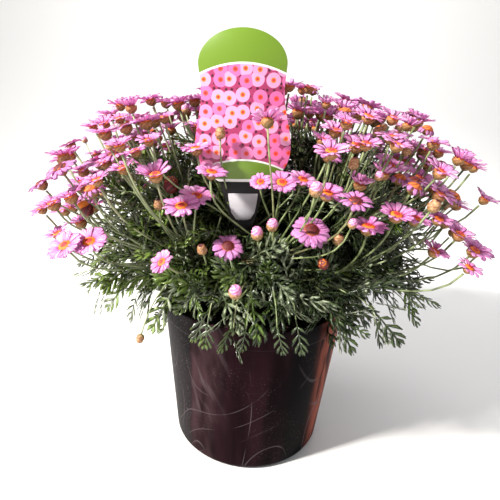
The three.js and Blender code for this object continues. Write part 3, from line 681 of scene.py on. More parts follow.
def read_heads(node):
    """The heads of a bloom solid. All petals of a head meet in one corner above its disc and in one below
    it, a fixed height apart, so those two corners give its place and its axis: at least eight triangles
    meet in each. Of the pairs that share a corner, the one with the widest petals is the head."""
    corners, triangles = corners_of(node)
    busy = np.flatnonzero(np.bincount(triangles.ravel(), minlength=len(corners)) >= BUSY_CORNER)
    height = HEAD.disc_top + HEAD.underside
    rises = corners[busy][:, None] - corners[busy]
    fits = (rises[..., 2] > 0) & (np.abs(np.linalg.norm(rises, axis=-1) - height) < 5 * CORNER_GRID)
    pairs = []
    for top, under in busy[np.argwhere(fits)]:
        axis = unit(corners[top] - corners[under])
        place = corners[under] + axis * HEAD.underside
        rim = corners[np.unique(triangles[(triangles == top).any(axis=1)])] - place
        radius = np.linalg.norm(rim - (rim @ axis)[:, None] * axis, axis=1).max()
        head = SimpleNamespace(place=place, axis=axis, radius=radius)
        pairs.append((radius, {int(top), int(under)}, head))
    used, heads = set(), []
    for _, ends, head in sorted(pairs, key=lambda pair: -pair[0]):
        if not used & ends:
            used |= ends
            heads.append(head)
    return heads


bloom_nodes = sorted(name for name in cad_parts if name.startswith("blooms_"))
stem_nodes = sorted(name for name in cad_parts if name.startswith("leafy_stem_"))
bunches = {node: read_heads(node) for node in bloom_nodes}
stem_corners = [corners_of(node)[0] for node in stem_nodes]
axes = [stem_axis(k) for k in range(STEMS)]


def is_seen_close(node):
    """Whether a bloom solid is one of those at the front, which follow the photograph one by one."""
    return not node.startswith("blooms_dome")


def nearest(points, place):
    """The least distance from a place to a set of points."""
    return np.linalg.norm(points - place, axis=1).min()


def carrier_of(place):
    """The number of the leafy stem whose solid comes nearest to a place."""
    return int(np.argmin([nearest(corners, place) for corners in stem_corners]))


def cup_foot(head):
    """Where a head's stalk ends and its cup begins."""
    return head.place - head.axis * CUP_DEPTH


def stalk_curve(k, share, foot, axis):
    """A stalk that grows from leafy stem k, at a share of its axis, up to the foot of a cup."""
    root = even(axes[k], [share])[0]
    heading = unit(0.5 * unit(axes[k][-1] - axes[k][-2]) + unit(foot - root))
    return smooth_curve(root, heading, foot, axis)


def main_stalk(k, heads):
    """The head of a bunch that the main stalk leads to, and that stalk: of all heads and roots, the one
    whose curve runs through the solid's rings, at the rings' radii from their corners."""
    best = None
    for head in heads:
        for share in np.linspace(0.2, 0.95, 26):
            curve = stalk_curve(k, share, cup_foot(head), head.axis)
            rings = even(curve, STALK_RINGS.shares)
            distances = np.array([nearest(stem_corners[k], ring) for ring in rings])
            miss = np.abs(distances - STALK_RINGS.radii).sum()
            if best is None or miss < best[0]:
                best = (miss, head, curve)
    return best[1], best[2]


# Blooms

KIND_VALUES = ("share", "petals", "reach", "rise", "fall", "width", "disc", "dome", "tone", "old")
KINDS = {
    name: SimpleNamespace(**dict(zip(KIND_VALUES, values)))
    for name, values in {
        "fresh": (0.74, (14, 18), 1.10, 0.46, 0.26, 1.05, 0.36, 0.10, (0.0, 0.75), 0.0),
        "mature": (0.13, (15, 19), 1.06, 0.22, 0.32, 1.05, 0.40, 0.17, (0.84, 1.0), 1.0),
        "young": (0.09, (13, 16), 0.85, 0.95, 0.12, 0.85, 0.28, 0.06, (0.0, 0.4), 0.0),
        "spent": (0.04, (9, 12), 0.66, -0.1, 0.85, 0.5, 0.42, 0.20, (0.92, 1.0), 0.3),
    }.items()
}
KNOWN_KINDS = {"blooms_centre_low": "mature", "blooms_right_low": "mature"}
KNOWN_AXES = {"blooms_left_low": (-0.50, -0.52, 0.69), "blooms_right_single": (0.02, -0.10, 0.99)}
LIFTS = (-0.05, 0.35)
LABEL_BLOOM = SimpleNamespace(
    place=np.array([2, -72, 361]) * MM, axis=unit(np.array([-0.10, 0.42, 0.90])), radius=14 * MM,
    kind="fresh", lift=0.15,
)
PETAL = in_mm(foot=0.6, layer=0.5, thick=0.28)
DISC = in_mm(foot=0.2, rise=1.1, floret=0.45)
CUP_PROFILE = MM * np.array([
    (1.15, -6.8), (2.4, -6.1), (4.3, -4.7), (5.7, -2.6), (6.1, -0.7), (5.7, 0.6), (3.0, 0.3),
])
BUD_PROFILE = MM * np.array([
    (1.2, 0), (3.0, 0.8), (4.3, 2.4), (4.85, 4.4), (4.75, 6.2), (4.1, 6.9), (4.2, 8.2), (3.6, 9.8),
    (2.4, 11.0), (1.2, 11.2), (0.6, 10.4),
])
USUAL_RADIUS = 15 * MM
PETAL_LOOK, DISC_LOOK, CUP_LOOK = 0, 1, 2
LEAF_LOOK, STALK_LOOK, BUD_LOOK = 0, 1, 2


def draw_kind(draw):
    """The age of a bloom, drawn by the ages' shares."""
    return str(draw.choice(list(KINDS), p=[kind.share for kind in KINDS.values()]))


def add_petals(piece, head, draw, fine):
    """Ray petals. A middle line is place + out (start + span t) + axis (foot + span (rise t - fall t^2)),
    with out at the petal's turn. Half width: wide (0.34 + 1.4 t - 0.5 t^2 - 0.54 t^4). The blunt tip is
    drawn back by 0.11 s^2 + 0.06 cos(pi s)^2 of its span, which leaves two teeth."""
    kind = KINDS[head.kind]
    t, columns = (np.linspace(0, 1, 9), 7) if fine else (np.array([0, 0.4, 0.8, 1]), 4)
    count = int(draw.integers(*kind.petals))
    number = np.arange(count)
    turn = 2 * np.pi * (number + draw.uniform(-0.16, 0.16, count)) / count + draw.uniform(0, 2 * np.pi)
    out = around(*square_to(head.axis), turn)
    start = 0.26 * head.radius
    span = (head.radius * kind.reach * draw.uniform(0.90, 1.0, count) - start)[:, None]
    rise = kind.rise + head.lift + draw.uniform(-0.08, 0.10, (count, 1))
    fall = kind.fall + draw.uniform(-0.08, 0.22, (count, 1))
    foot = PETAL.foot + PETAL.layer * (number % 2)[:, None]
    height = foot + span * (rise * t - fall * t**2)
    centre = head.place + out[:, None] * (start + span * t)[..., None] + head.axis * height[..., None]
    lean = draw.uniform(-0.28, 0.28, (count, 1))
    normal = unit(head.axis + np.cross(head.axis, out) * lean)
    wide = 0.75 * np.pi * head.radius / count * 1.2 * kind.width
    half_width = wide * draw.uniform(0.88, 1.08, (count, 1)) * (0.34 + 1.4 * t - 0.5 * t**2 - 0.54 * t**4)
    thick = PETAL.thick * np.sqrt(np.sin(np.pi * t))
    points = ribbon(centre, normal, half_width, thick, columns, fold=draw.uniform(-0.1, 0.1), ribs=0.07)
    across = section(columns)[0]
    back = 0.11 * across**2 + 0.06 * np.cos(np.pi * across) ** 2
    drawn = (span * t**8)[..., None] * back
    points = points - out[:, None, None] * drawn[..., None]
    tone = draw.uniform(*kind.tone, (count, 1, 1))
    piece.add(points, PETAL_LOOK, along=t[:, None], across=across, tone=tone)


def add_disc(piece, head, fine):
    """A domed disc: height dome (1 - q^2.2) over radius share q, with every other point raised as a
    floret, and a flat underside."""
    kind = KINDS[head.kind]
    rows, sides = (13, 34) if fine else (4, 12)
    q = np.concatenate([[0.0, 1.0], np.linspace(1, 0, rows)])[:, None]
    row = np.arange(len(q))[:, None]
    on_top = row > 1
    floret = (row + np.arange(sides)) % 2 * ((q > 0.1) & on_top)
    lift = np.where(on_top, kind.dome * head.radius * (1 - q**2.2) + DISC.rise, DISC.foot)
    lift = lift + DISC.floret * floret
    reach = kind.disc * head.radius * (q + 0.03 * floret)
    ring = around(*square_to(head.axis), circle(sides))
    points = head.place + ring * reach[..., None] + head.axis * lift[..., None]
    piece.add(points[None], DISC_LOOK, along=q, across=floret, tone=kind.old)


def add_lobed(piece, profile, foot, axis, size, look, tone, sides=12):
    """A body turned about an axis. Its radius swells by 6% at bracts, one to two sides, that step round
    by rows."""
    profile = size * np.concatenate([profile[:1] * [0, 1], profile, profile[-1:] * [0, 1]])
    angle = circle(sides)
    bract = np.cos(0.5 * sides * angle + np.pi * np.arange(len(profile))[:, None])
    reach = profile[:, :1] * (1 + 0.06 * bract)
    ring = around(*square_to(axis), angle)
    points = foot + ring * reach[..., None] + axis * profile[:, 1:, None]
    along = np.linspace(0, 1, len(profile))[:, None]
    piece.add(points[None], look, along=along, across=0.5 * bract + 0.5, tone=tone)


def add_head(piece, head, draw, fine=False):
    """A whole bloom: petals, in two layers where it is seen from near, disc and cup."""
    add_petals(piece, head, draw, fine)
    if fine and head.kind in ("fresh", "mature"):
        inner = SimpleNamespace(**vars(head))
        inner.radius, inner.place = 0.93 * head.radius, head.place - head.axis * 0.4 * MM
        add_petals(piece, inner, draw, fine)
    add_disc(piece, head, fine)
    size = head.radius / USUAL_RADIUS
    add_lobed(piece, CUP_PROFILE, head.place, head.axis, size, CUP_LOOK, 0.0, 16 if fine else 12)


# Foliage

LOBES = SimpleNamespace(
    shares=np.array([0.20, 0.40, 0.60, 0.79]), lengths=np.array([0.24, 0.37, 0.34, 0.22]),
    angles=np.radians([64, 54, 45, 36]),
)
LEAF = in_mm(thick=0.24, rim_clear=1.2, mix_clear=3)
RIB_T, LOBE_T, TOOTH_T = np.linspace(0, 1, 4), np.array([0, 0.58, 1]), np.array([0, 0.6, 1])
RIB_WIDTH = (0.015 + 0.040 * RIB_T**3) * np.sqrt(1.02 - RIB_T**6)
LOBE_WIDTH = 0.050 * (0.35 + 0.9 * LOBE_T) * np.sqrt(1.02 - LOBE_T**4)
TOOTH_WIDTH = 0.040 * (0.4 + 0.6 * TOOTH_T) * np.sqrt(1.02 - TOOTH_T**3)
STRIP_COLUMNS = 3
SIDES = np.array([1.0, -1.0])
SHOOT_T = np.linspace(0, 1, 16)
SKIRT = SimpleNamespace(count=40, front=0.119, side=0.176, heights=(0.172, 0.218), over=0.230)
LEAF_SIZES = in_mm(stem=(62, 58, 36), stalk=(50, 44, 30), skirt=(54, 50, 30), side=(58, 50, 26))
STALK_RADII = in_mm(
    stem=(2.6, 2.4, 1.8), bloom=(1.25, 1.0, 0.85, 1.05), bud=(1.3, 1.0, 0.8, 1.0), skirt=(1.1, 0.8, 0.5),
    side=(1.4, 0.8),
)
SIDE_SHOOTS = SimpleNamespace(count=8, shares=(0.15, 0.98), lengths=(42, 66), leaves=8, first_turn=2.0)
OPEN = in_mm(label_behind=25, label_beside=66, label_foot=262, low_front=-60, low_top=285, low_half=150)
BLOOM_FLOOR = 250 * MM
MORE_BLOOMS = SimpleNamespace(spots=800, depths=(0.80, 1.03), radii=(11, 15), closeness=0.73)
SMALL_BUDS = SimpleNamespace(spots=90, depths=(0.80, 0.99), sizes=(0.6, 0.95), clear=2 * MM)


def clear_of_pot(points):
    """Lifts points that would lie in the mix or in the rim on to them, and moves points that hang below
    the rim out of the wall. Inside the rim the floor is the mix, and over the wall it is the rim's top."""
    reach = np.hypot(points[..., 0], points[..., 1])
    wall = POT.rim_radius + LEAF.rim_clear
    on_mix, on_rim = SOIL.crown_height + LEAF.mix_clear, POT.height + LEAF.rim_clear
    over_wall = np.clip((reach - (POT.rim_radius - 8 * MM)) / (6 * MM), 0, 1)
    floor = on_mix + over_wall * (on_rim - on_mix)
    hangs = (points[..., 2] < SOIL.edge_height - 6 * MM) & (reach > 0.75 * POT.rim_radius)
    lifted = (reach < wall) & ~hangs
    height = np.where(lifted, np.maximum(points[..., 2], floor), points[..., 2])
    stretch = np.where(hangs & (reach < wall), wall / np.maximum(reach, 1 * MM), 1.0)
    return np.stack([points[..., 0] * stretch, points[..., 1] * stretch, height], axis=-1)


def seen_on_label(points):
    """Where points before the label fall on its face, seen from the camera: how far across it from its
    middle, and how high. Points behind it get a height of 0."""
    share = (LABEL.y - CAMERA.place[1]) / np.maximum(points[..., 1] - CAMERA.place[1], 1 * MM)
    across = CAMERA.place[0] + (points[..., 0] - CAMERA.place[0]) * share - LABEL.x
    height = CAMERA.place[2] + (points[..., 2] - CAMERA.place[2]) * share
    return across, np.where(points[..., 1] < LABEL.y + 3 * MM, height, 0.0)


def crosses_label(points, margin):
    """Whether lines of points, (n, rows, 3), pass through the label or its stake, or touch it."""
    before = points[..., 1] < LABEL.y
    beside = np.abs(points[..., 0] - LABEL.x) < LABEL.lobe_half + margin
    near = beside & (points[..., 2] > LABEL.bottom - STAKE.shoulder)
    passes = (before[..., 1:] != before[..., :-1]) & near[..., 1:] & near[..., :-1]
    touches = near & (np.abs(points[..., 1] - LABEL.y) < margin)
    return passes.any(axis=-1) | touches.any(axis=-1)


def hides_near_blooms(points):
    """Whether leaves, (n, rows, 3), come between the camera and a near bloom or bud: nearer than it, and
    closer to its line of sight than its radius."""
    sight = near_places - CAMERA.place
    far = np.linalg.norm(sight, axis=-1)
    ray = sight / far[:, None]
    offset = points[:, :, None] - CAMERA.place
    ahead = (offset * ray).sum(-1)
    beside = np.linalg.norm(offset - ahead[..., None] * ray, axis=-1)
    return ((ahead < far) & (beside < near_radii * ahead / far)).any(axis=(1, 2))


def leaf_fits(root, heading, length):
    """Leaves that stay under the blooms and off their faces, off the label and out of its view, and that
    end either in the pot's mouth or well outside its wall."""
    points = root[:, None] + heading[:, None] * (length[:, None] * np.array([0, 0.35, 0.7, 1.0]))[..., None]
    across, height = seen_on_label(points)
    before_card = (np.abs(across) < LABEL.lobe_half + 4 * MM) & (height > LABEL.bottom - 38 * MM)
    hides = before_card.any(axis=1) | hides_near_blooms(points)
    faces = np.array([head.place + 0.4 * head.radius * head.axis for head in all_heads])
    reaches = np.array([0.75 * head.radius for head in all_heads])
    on_face = (np.linalg.norm(points[:, 1:, None] - faces, axis=-1) < reaches).any(axis=(1, 2))
    tip = points[:, -1]
    reach = np.hypot(tip[:, 0], tip[:, 1])
    caught = (np.abs(reach - 0.92 * POT.rim_radius) < 15 * MM) & (tip[:, 2] < POT.height + 4 * MM)
    under = (dome_scale(tip - DOME.centre) < 0.90) & (tip[:, 2] > 128 * MM)
    return under & ~hides & ~crosses_label(points, 5 * MM) & ~on_face & ~caught


def add_strips(piece, controls, t, width, normal, length, tone):
    """Thin closed blades along Bezier curves, as many on each leaf. Widths are shares of its length."""
    shape = (*controls[0].shape[:-1], 3)
    flat = [np.broadcast_to(point, shape).reshape(-1, 3) for point in controls]
    on_each = len(flat[0]) // len(length)
    normal, length, tone = (np.repeat(values, on_each, axis=0) for values in (normal, length, tone))
    thick = LEAF.thick * np.sqrt(np.sin(np.pi * t))
    blades = ribbon(bezier(flat, t), normal, length[:, None] * width, thick, STRIP_COLUMNS, fold=0.22)
    across = section(STRIP_COLUMNS)[0]
    piece.add(clear_of_pot(blades), LEAF_LOOK, along=t[:, None], across=across, tone=tone[:, None, None])


def add_leaves(piece, root, heading, upper, length, fall, tone):
    """Lobed leaves. The rib is a quadratic curve from the root along the heading that falls off at its end.
    Four pairs of lobes leave it, each on a curve that bends towards the leaf's tip, and the middle lobes
    bear a tooth each."""
    long = length[:, None]
    side = unit(np.cross(upper, heading))
    up = np.cross(heading, side)
    droop = (up * 0.5 + UP * 0.5) * long * fall[:, None]
    rib = [root, root + heading * 0.5 * long, root + heading * 0.97 * long - droop]

    bases, beyond = bezier(rib, LOBES.shares), bezier(rib, LOBES.shares + 0.01)
    along_rib = unit(beyond - bases)[:, :, None]
    out, rise = side[:, None, None] * SIDES[:, None], up[:, None, None]
    angle = LOBES.angles[:, None, None]
    lobe_long = length[:, None, None, None] * LOBES.lengths[:, None, None] * np.ones((2, 1))
    first = np.cos(angle) * along_rib + np.sin(angle) * out + 0.22 * rise
    last = np.cos(angle - 0.35) * along_rib + np.sin(angle - 0.35) * out + 0.10 * rise
    foot = bases[:, :, None] + 0 * out
    lobes = [foot, foot + first * 0.5 * lobe_long, foot + last * lobe_long]

    tooth_root = bezier([point[:, 1:3] for point in lobes], [0.5])[..., 0, :]
    tooth_heading = unit(0.9 * along_rib[:, 1:3] + 0.35 * out + 0.15 * rise)
    tooth_long = 0.42 * lobe_long[:, 1:3]
    tooth_tip = tooth_root + (tooth_heading + 0.1 * out) * tooth_long
    teeth = [tooth_root, tooth_root + 0.5 * tooth_heading * tooth_long, tooth_tip]

    add_strips(piece, rib, RIB_T, RIB_WIDTH, up, length, tone)
    add_strips(piece, lobes, LOBE_T, LOBE_WIDTH, up, length, tone)
    add_strips(piece, teeth, TOOTH_T, TOOTH_WIDTH, up, length, tone)


def leafy_shoot(piece, curve, count, shares, sizes, draw, tone):
    """Leaves in a golden-angle spiral on a shoot, spread wide at its foot and gathered at its tip. Only
    those that fit are made. Gives back the share of the shoot at which the last one sits."""
    share = np.linspace(*shares, count)
    root = even(curve, share)
    along = unit(even(curve, np.minimum(share + 0.02, 1.0)) - even(curve, share - 0.02))
    out = around(*square_to(along), np.arange(count) * GOLDEN_ANGLE + draw.uniform(0, 2 * np.pi))
    spread = np.radians(72 - 48 * share**1.5)[:, None] + draw.uniform(-0.15, 0.15, (count, 1))
    sway = UP * draw.uniform(-0.15, 0.10, (count, 1))
    heading = unit(along * np.cos(spread) + out * np.sin(spread) + sway)
    upper = unit(along - (along * heading).sum(1, keepdims=True) * heading)
    length = np.interp(share, np.linspace(*shares, 3), sizes) * draw.uniform(0.85, 1.15, count)
    fall = draw.uniform(0.02, 0.30, count)
    tone = tone + 0.3 * draw.uniform(-1, 1, count) ** 3
    fits = leaf_fits(root, heading, length)
    if not fits.any():
        return 0.0
    add_leaves(piece, *(values[fits] for values in (root, heading, upper, length, fall, tone)))
    return share[fits].max()


def add_stalk(piece, curve, radii, tone):
    """A stalk whose radius goes evenly from its root to its neck."""
    rows, sides = 10, 5
    share = np.linspace(0, 1, rows)
    radius = np.interp(share, np.linspace(0, 1, len(radii)), radii)
    points = tube(even(curve, share)[None], radius[None], sides)
    along, across = np.linspace(0, 1, rows + 2)[:, None], np.linspace(-1, 1, sides)
    piece.add(points, STALK_LOOK, along=along, across=across, tone=tone)


def add_shoot(piece, line, count, sizes, radii, tones, draw):
    """A leafy shoot whose stalk ends at its last leaf."""
    stalk_tone, leaf_tone = draw.uniform(0.0, 0.8), draw.uniform(*tones)
    last = leafy_shoot(piece, line, count, (0.15, 1.0), sizes, draw, leaf_tone)
    if last > 0:
        add_stalk(piece, even(line, np.linspace(0, last, 16)), radii, stalk_tone)


def skirt_lines(k, draw):
    """Curves of the low shoots of leafy stem k, which lean out over the rim and hang: each goes from the
    stem's axis over a point above the rim to an end outside, further out at the plant's sides."""
    turn = 2 * np.pi * (np.arange(SKIRT.count) + draw.uniform(-0.3, 0.3, SKIRT.count)) / SKIRT.count
    out = np.stack([np.cos(turn), np.sin(turn), np.zeros(SKIRT.count)], axis=-1)
    wide = SKIRT.front + (SKIRT.side - SKIRT.front) * np.abs(out[:, :1])
    ends = out * wide * draw.uniform(0.88, 1.1, (SKIRT.count, 1))
    ends = ends + UP * draw.uniform(*SKIRT.heights, (SKIRT.count, 1))
    for heading, end in zip(out, ends):
        if stem_towards(end) == k:
            root = even(axes[k], [draw.uniform(0.25, 0.45)])[0]
            above = heading * 0.95 * POT.rim_radius + UP * SKIRT.over
            yield bezier([root, above, 0.5 * (above + end) + 12 * MM * UP, end], SHOOT_T)


def side_lines(k, draw):
    """Lines of the shoots that leave leafy stem k sideways and bend up, longer towards the plant's sides."""
    low = stem_direction(k)[2] < 0.5
    share = np.linspace(*SIDE_SHOOTS.shares, SIDE_SHOOTS.count)
    ahead, behind = even(axes[k], np.minimum(share + 0.03, 1.0)), even(axes[k], share - 0.03)
    for i, (root, along) in enumerate(zip(even(axes[k], share), unit(ahead - behind))):
        turn = i * GOLDEN_ANGLE + SIDE_SHOOTS.first_turn + draw.uniform(-0.4, 0.4)
        sag = draw.uniform(-0.75, 0.0) if low else draw.uniform(-0.2, 0.35)
        heading = unit(0.55 * along + around(*square_to(along), turn) + UP * sag)
        length = draw.uniform(*SIDE_SHOOTS.lengths) * MM * (1 + 0.35 * abs(heading[0]))
        line = bezier([root, root + heading * 0.5 * length, root + (heading + 0.3 * UP) * length], SHOOT_T)
        if not crosses_label(line[None], 4 * MM)[0]:
            yield line


def is_open_place(place):
    """Whether a place lies before the label or before the low front of the plant, which stay open."""
    x, y, z = place
    beside_label = abs(x - LABEL.x) < OPEN.label_beside
    before_label = beside_label and y < LABEL.y + OPEN.label_behind and z > OPEN.label_foot
    return before_label or (y < OPEN.low_front and z < OPEN.low_top and abs(x) < OPEN.low_half)


# The blooms, bunch by bunch

draw = np.random.default_rng(41)
bloom_finishes = [petal_finish(), disc_finish(), cup_finish()]
green_finishes = [leaf_finish(), stalk_finish(), bud_finish()]
all_heads = []
stalk_lines = [[] for _ in range(STEMS)]


def make_bunch(node):
    """The blooms of one solid, and the lines of their stalks: a main one, and a twig off it for each of
    the other heads."""
    heads, seen_close = bunches[node], is_seen_close(node)
    piece = Piece()
    for head in heads:
        drawn = draw_kind(draw)
        head.kind = KNOWN_KINDS.get(node, "fresh" if seen_close else drawn)
        if node in KNOWN_AXES:
            foot = cup_foot(head)
            head.axis = unit(np.array(KNOWN_AXES[node]))
            head.place = foot + head.axis * CUP_DEPTH
        head.lift = 0.0 if seen_close else draw.uniform(*LIFTS)
        add_head(piece, head, draw, fine=seen_close)
        all_heads.append(head)
    piece.build(f"{node}_petals", bloom_finishes, "petals", [node])
    carrier = carrier_of(heads[0].place - heads[0].axis * (HEAD.underside + GAP))
    first, line = main_stalk(carrier, heads)
    stalk_lines[carrier].append(line)
    for i, head in enumerate(head for head in heads if head is not first):
        leaves_at = 0.44 + 0.2 * i / len(heads)
        root, ahead = even(line, [leaves_at, leaves_at + 0.22])
        heading = unit(unit(ahead - root) + unit(cup_foot(head) - root))
        stalk_lines[carrier].append(smooth_curve(root, heading, cup_foot(head), head.axis))


def add_blooms_between(extra):
    """More blooms over the dome, on the stem that grows towards each, wherever there is room between
    the ones before."""
    places, _ = dome_spots(MORE_BLOOMS.spots, draw, *MORE_BLOOMS.depths)
    for place in places[draw.permutation(len(places))]:
        radius = draw.uniform(*MORE_BLOOMS.radii) * MM
        apart = min(
            np.linalg.norm(place - other.place) - MORE_BLOOMS.closeness * (radius + other.radius)
            for other in all_heads
        )
        inside = (place - 1.1 * radius > cad_low).all() and (place + 1.1 * radius < cad_high).all()
        if apart < 0 or is_open_place(place) or place[2] < BLOOM_FLOOR or not inside:
            continue
        axis = unit(UP + 0.55 * unit(place - DOME.centre) + draw.uniform(-0.2, 0.2, 3))
        head = SimpleNamespace(place=place, axis=axis, radius=radius, lift=draw.uniform(*LIFTS))
        head.kind = draw_kind(draw)
        k = stem_towards(place)
        add_head(extra[k], head, draw)
        all_heads.append(head)
        stalk_lines[k].append(stalk_curve(k, draw.uniform(0.6, 0.95), cup_foot(head), axis))


def add_label_bloom(extra):
    """The bloom before the label, on a stalk from the nearest tip of a stem that ends before it too."""
    add_head(extra[stem_towards(LABEL_BLOOM.place)], LABEL_BLOOM, draw)
    all_heads.append(LABEL_BLOOM)
    before_label = [k for k in range(STEMS) if axes[k][-1][1] < LABEL.y]
    k = min(before_label, key=lambda k: np.linalg.norm(axes[k][-1] - LABEL_BLOOM.place))
    heading = unit(UP - 0.3 * LABEL_BLOOM.axis)
    stalk_lines[k].append(smooth_curve(axes[k][-1], heading, cup_foot(LABEL_BLOOM), LABEL_BLOOM.axis))


for node in bloom_nodes:
    make_bunch(node)
extra = [Piece() for _ in range(STEMS)]
add_blooms_between(extra)
add_label_bloom(extra)
for number, piece in enumerate(extra, 1):
    if piece.count:
        piece.build(f"more_blooms_{number:02d}", bloom_finishes, "petals")


# Buds

# The ones in front, by state: x, y and z in millimetres, lean and heading in degrees, and size
FRONT_BUDS = {
    "closed": [
        (-90, -71, 279, 12, -90, 0.95), (68, -88, 262, 20, -30, 0.95), (-46, -96, 249, 25, -120, 0.90),
        (-38, -60, 343, 8, -90, 0.95), (-92, -132, 188, 150, -110, 0.70), (73, -92, 328, 8, -60, 0.90),
        (108, -30, 353, 12, -60, 0.90), (119, -70, 339, 20, -30, 0.75), (133, -112, 302, 25, -40, 1.0),
    ],
    "opening": [
        (-17, -118, 220, 20, -60, 1.15), (11, -88, 271, 15, -60, 1.05), (0, -93, 264, 15, -120, 1.10),
        (42, -115, 309, 15, -80, 1.10),
    ],
    "fading": [(-152, -74, 271, 30, 180, 1.30)],
    "withered": [(57, -106, 249, 55, -110, 0.95), (-83, -50, 290, 10, 120, 1.45)],
}
BUD_TONES = {"closed": 0.0, "withered": 0.5, "fading": 0.6, "opening": 1.0}
BUD_MIDDLE = 5 * MM


def place_buds():
    """The buds of each stem, as place, axis, size and tone: the ones in front, and small ones drawn
    among the blooms."""
    buds = [[] for _ in range(STEMS)]
    for state, rows in FRONT_BUDS.items():
        for x, y, z, lean, heading, size in rows:
            place = np.array([x, y, z]) * MM
            buds[stem_towards(place)].append((place, leaning(lean, heading), size, BUD_TONES[state]))
    for place, axis in zip(*dome_spots(SMALL_BUDS.spots, draw, *SMALL_BUDS.depths)):
        apart = min(np.linalg.norm(place - other.place) - other.radius for other in all_heads)
        if apart > SMALL_BUDS.clear and not is_open_place(place) and place[2] > BLOOM_FLOOR:
            tone = BUD_TONES["opening"] if draw.random() < 0.5 else BUD_TONES["closed"]
            buds[stem_towards(place)].append((place, axis, draw.uniform(*SMALL_BUDS.sizes), tone))
    return buds


def near_spots():
    """The places and radii of the blooms and buds in front, which leaves keep out of the way of."""
    heads = [head for node in bloom_nodes if is_seen_close(node) for head in bunches[node]]
    buds = [np.array(row[:3]) * MM + BUD_MIDDLE * UP for rows in FRONT_BUDS.values() for row in rows]
    radii = [1.05 * head.radius for head in heads] + [9 * MM] * len(buds)
    return np.array([head.place for head in heads] + buds), np.array(radii)


stem_buds = place_buds()
near_places, near_radii = near_spots()


# The leafy stems

def make_stem(k, node):
    """A leafy stem: its axis, flower stalks, shoots that hang over the rim, buds and side shoots."""
    piece = Piece()
    add_stalk(piece, axes[k], STALK_RADII.stem, 0.8)
    leafy_shoot(piece, axes[k], 16, (0.12, 1.0), LEAF_SIZES.stem, draw, 0.45)
    for line in stalk_lines[k]:
        add_stalk(piece, line, STALK_RADII.bloom, draw.uniform(0.1, 0.9))
        leafy_shoot(piece, line, 3, (0.10, 0.56), LEAF_SIZES.stalk, draw, 0.5)
    for line in skirt_lines(k, draw):
        add_shoot(piece, line, 9, LEAF_SIZES.skirt, STALK_RADII.skirt, (0.3, 0.75), draw)
    for place, axis, size, tone in stem_buds[k]:
        line = stalk_curve(k, draw.uniform(0.5, 0.9), place, axis)
        add_stalk(piece, line, STALK_RADII.bud * size, draw.uniform(0.0, 0.5))
        add_lobed(piece, BUD_PROFILE, place, axis, size, BUD_LOOK, tone)
    for line in side_lines(k, draw):
        add_shoot(piece, line, SIDE_SHOOTS.leaves, LEAF_SIZES.side, STALK_RADII.side, (0.25, 0.70), draw)
    piece.build(f"{node}_leaves", green_finishes, "green", [node])


for k, node in enumerate(stem_nodes):
    make_stem(k, node)


# Crown, mix and pot

BURL = SimpleNamespace(share=0.82, spread=0.12, above=10 * MM)
BARK_RIDGES = SimpleNamespace(count=5, depth=0.09, twist=9)
CHIPS = SimpleNamespace(
    count=220, half_long=(2.5, 6), half_wide=(1.2, 3.2), thick=(0.5, 1.1), sunk=0.3 * MM,
    outline=np.array([0.45, 1, 1.1, 0.9, 0.4]), body=np.array([0, 1, 1, 1, 0]),
)
MIX_CLEAR = 0.7 * MM
POT_EDGES = in_mm(
    wall_foot=[(85.7, 9.5)],
    band_foot=[(98.5, 154.5), (98.7, 156.6), (99.3, 157.6), (100.1, 158.1), (100.6, 158.8), (100.8, 160)],
    rim=[
        (103.3, 177.5), (103.5, 178.5), (103.4, 179.3), (103, 179.8), (102.4, 180), (101.7, 179.9),
        (101.2, 179.5),
    ],
    inside=[(101, 178.5), (96.7, 159), (96.2, 155)],
    inner_foot=[(81.5, 5.2)],
    floor_edge=70,
)
DRILL = in_mm(low=-10, high=20)


def make_crown():
    """A ribbed trunk, radius + (burl - radius) e^(-((s - burl share) / spread)^2), with a stub for each
    stem."""
    rows, sides = 24, 24
    piece = Piece()
    foot = CROWN.centre * [1, 1, 0] + [0, 0, CROWN.trunk_bottom]
    share = np.linspace(0, 1, rows)
    centre = foot + (CROWN.centre + UP * BURL.above - foot) * share[:, None]
    swell = np.exp(-(((share - BURL.share) / BURL.spread) ** 2))
    widest = CROWN.trunk_radius + (CROWN.burl_radius - CROWN.trunk_radius) * swell
    radius = widest * np.sqrt(1.02 - share**14)
    trunk = tube(centre[None], radius[None], sides)
    twist = BARK_RIDGES.twist * np.linspace(0, 1, rows + 2)[:, None]
    ridges = BARK_RIDGES.depth * np.sin(BARK_RIDGES.count * circle(sides) + twist)
    piece.add(trunk + (trunk - trunk.mean(axis=2, keepdims=True)) * ridges[..., None])
    for k in range(STEMS):
        centre = CROWN.centre + stem_direction(k) * np.linspace(0, CROWN.stub_reach, 7)[:, None]
        piece.add(tube(centre[None], np.linspace(1.25, 1, 7)[None] * CROWN.stub_radius, 10))
    piece.build("crown_bark", [bark_finish()], "crown", ["woody_crown"])


def inner_wall(height):
    """The radius of the pot's inner face at a height."""
    band_low = POT.height - POT.band_height
    share = (height - POT.foot_round) / (band_low - POT.foot_round)
    return POT.base_radius + (POT.body_radius - POT.base_radius) * share - POT.wall


def mix_top(x, y):
    """The height of the mix: a low mound, lumps as sin cos, and crumbs as finer ones."""
    reach = np.hypot(x, y) / inner_wall(SOIL.edge_height)
    mound = np.interp(reach, [0, 0.38, 0.72, 1], [0, -1 * MM, -3 * MM, -6 * MM]) + SOIL.crown_height
    x, y = x / MM, y / MM
    lumps = SOIL.lump * np.sin(0.09 * x + 1.3) * np.cos(0.11 * y - 0.4)
    crumbs = np.sin(0.61 * x + 1.7 * np.sin(0.35 * y)) * np.sin(0.53 * y + 1.3 * np.sin(0.47 * x))
    fade = np.clip((1 - reach) / 0.06, 0, 1)
    return mound + (lumps + 0.7 * SOIL.grain * crumbs) * fade


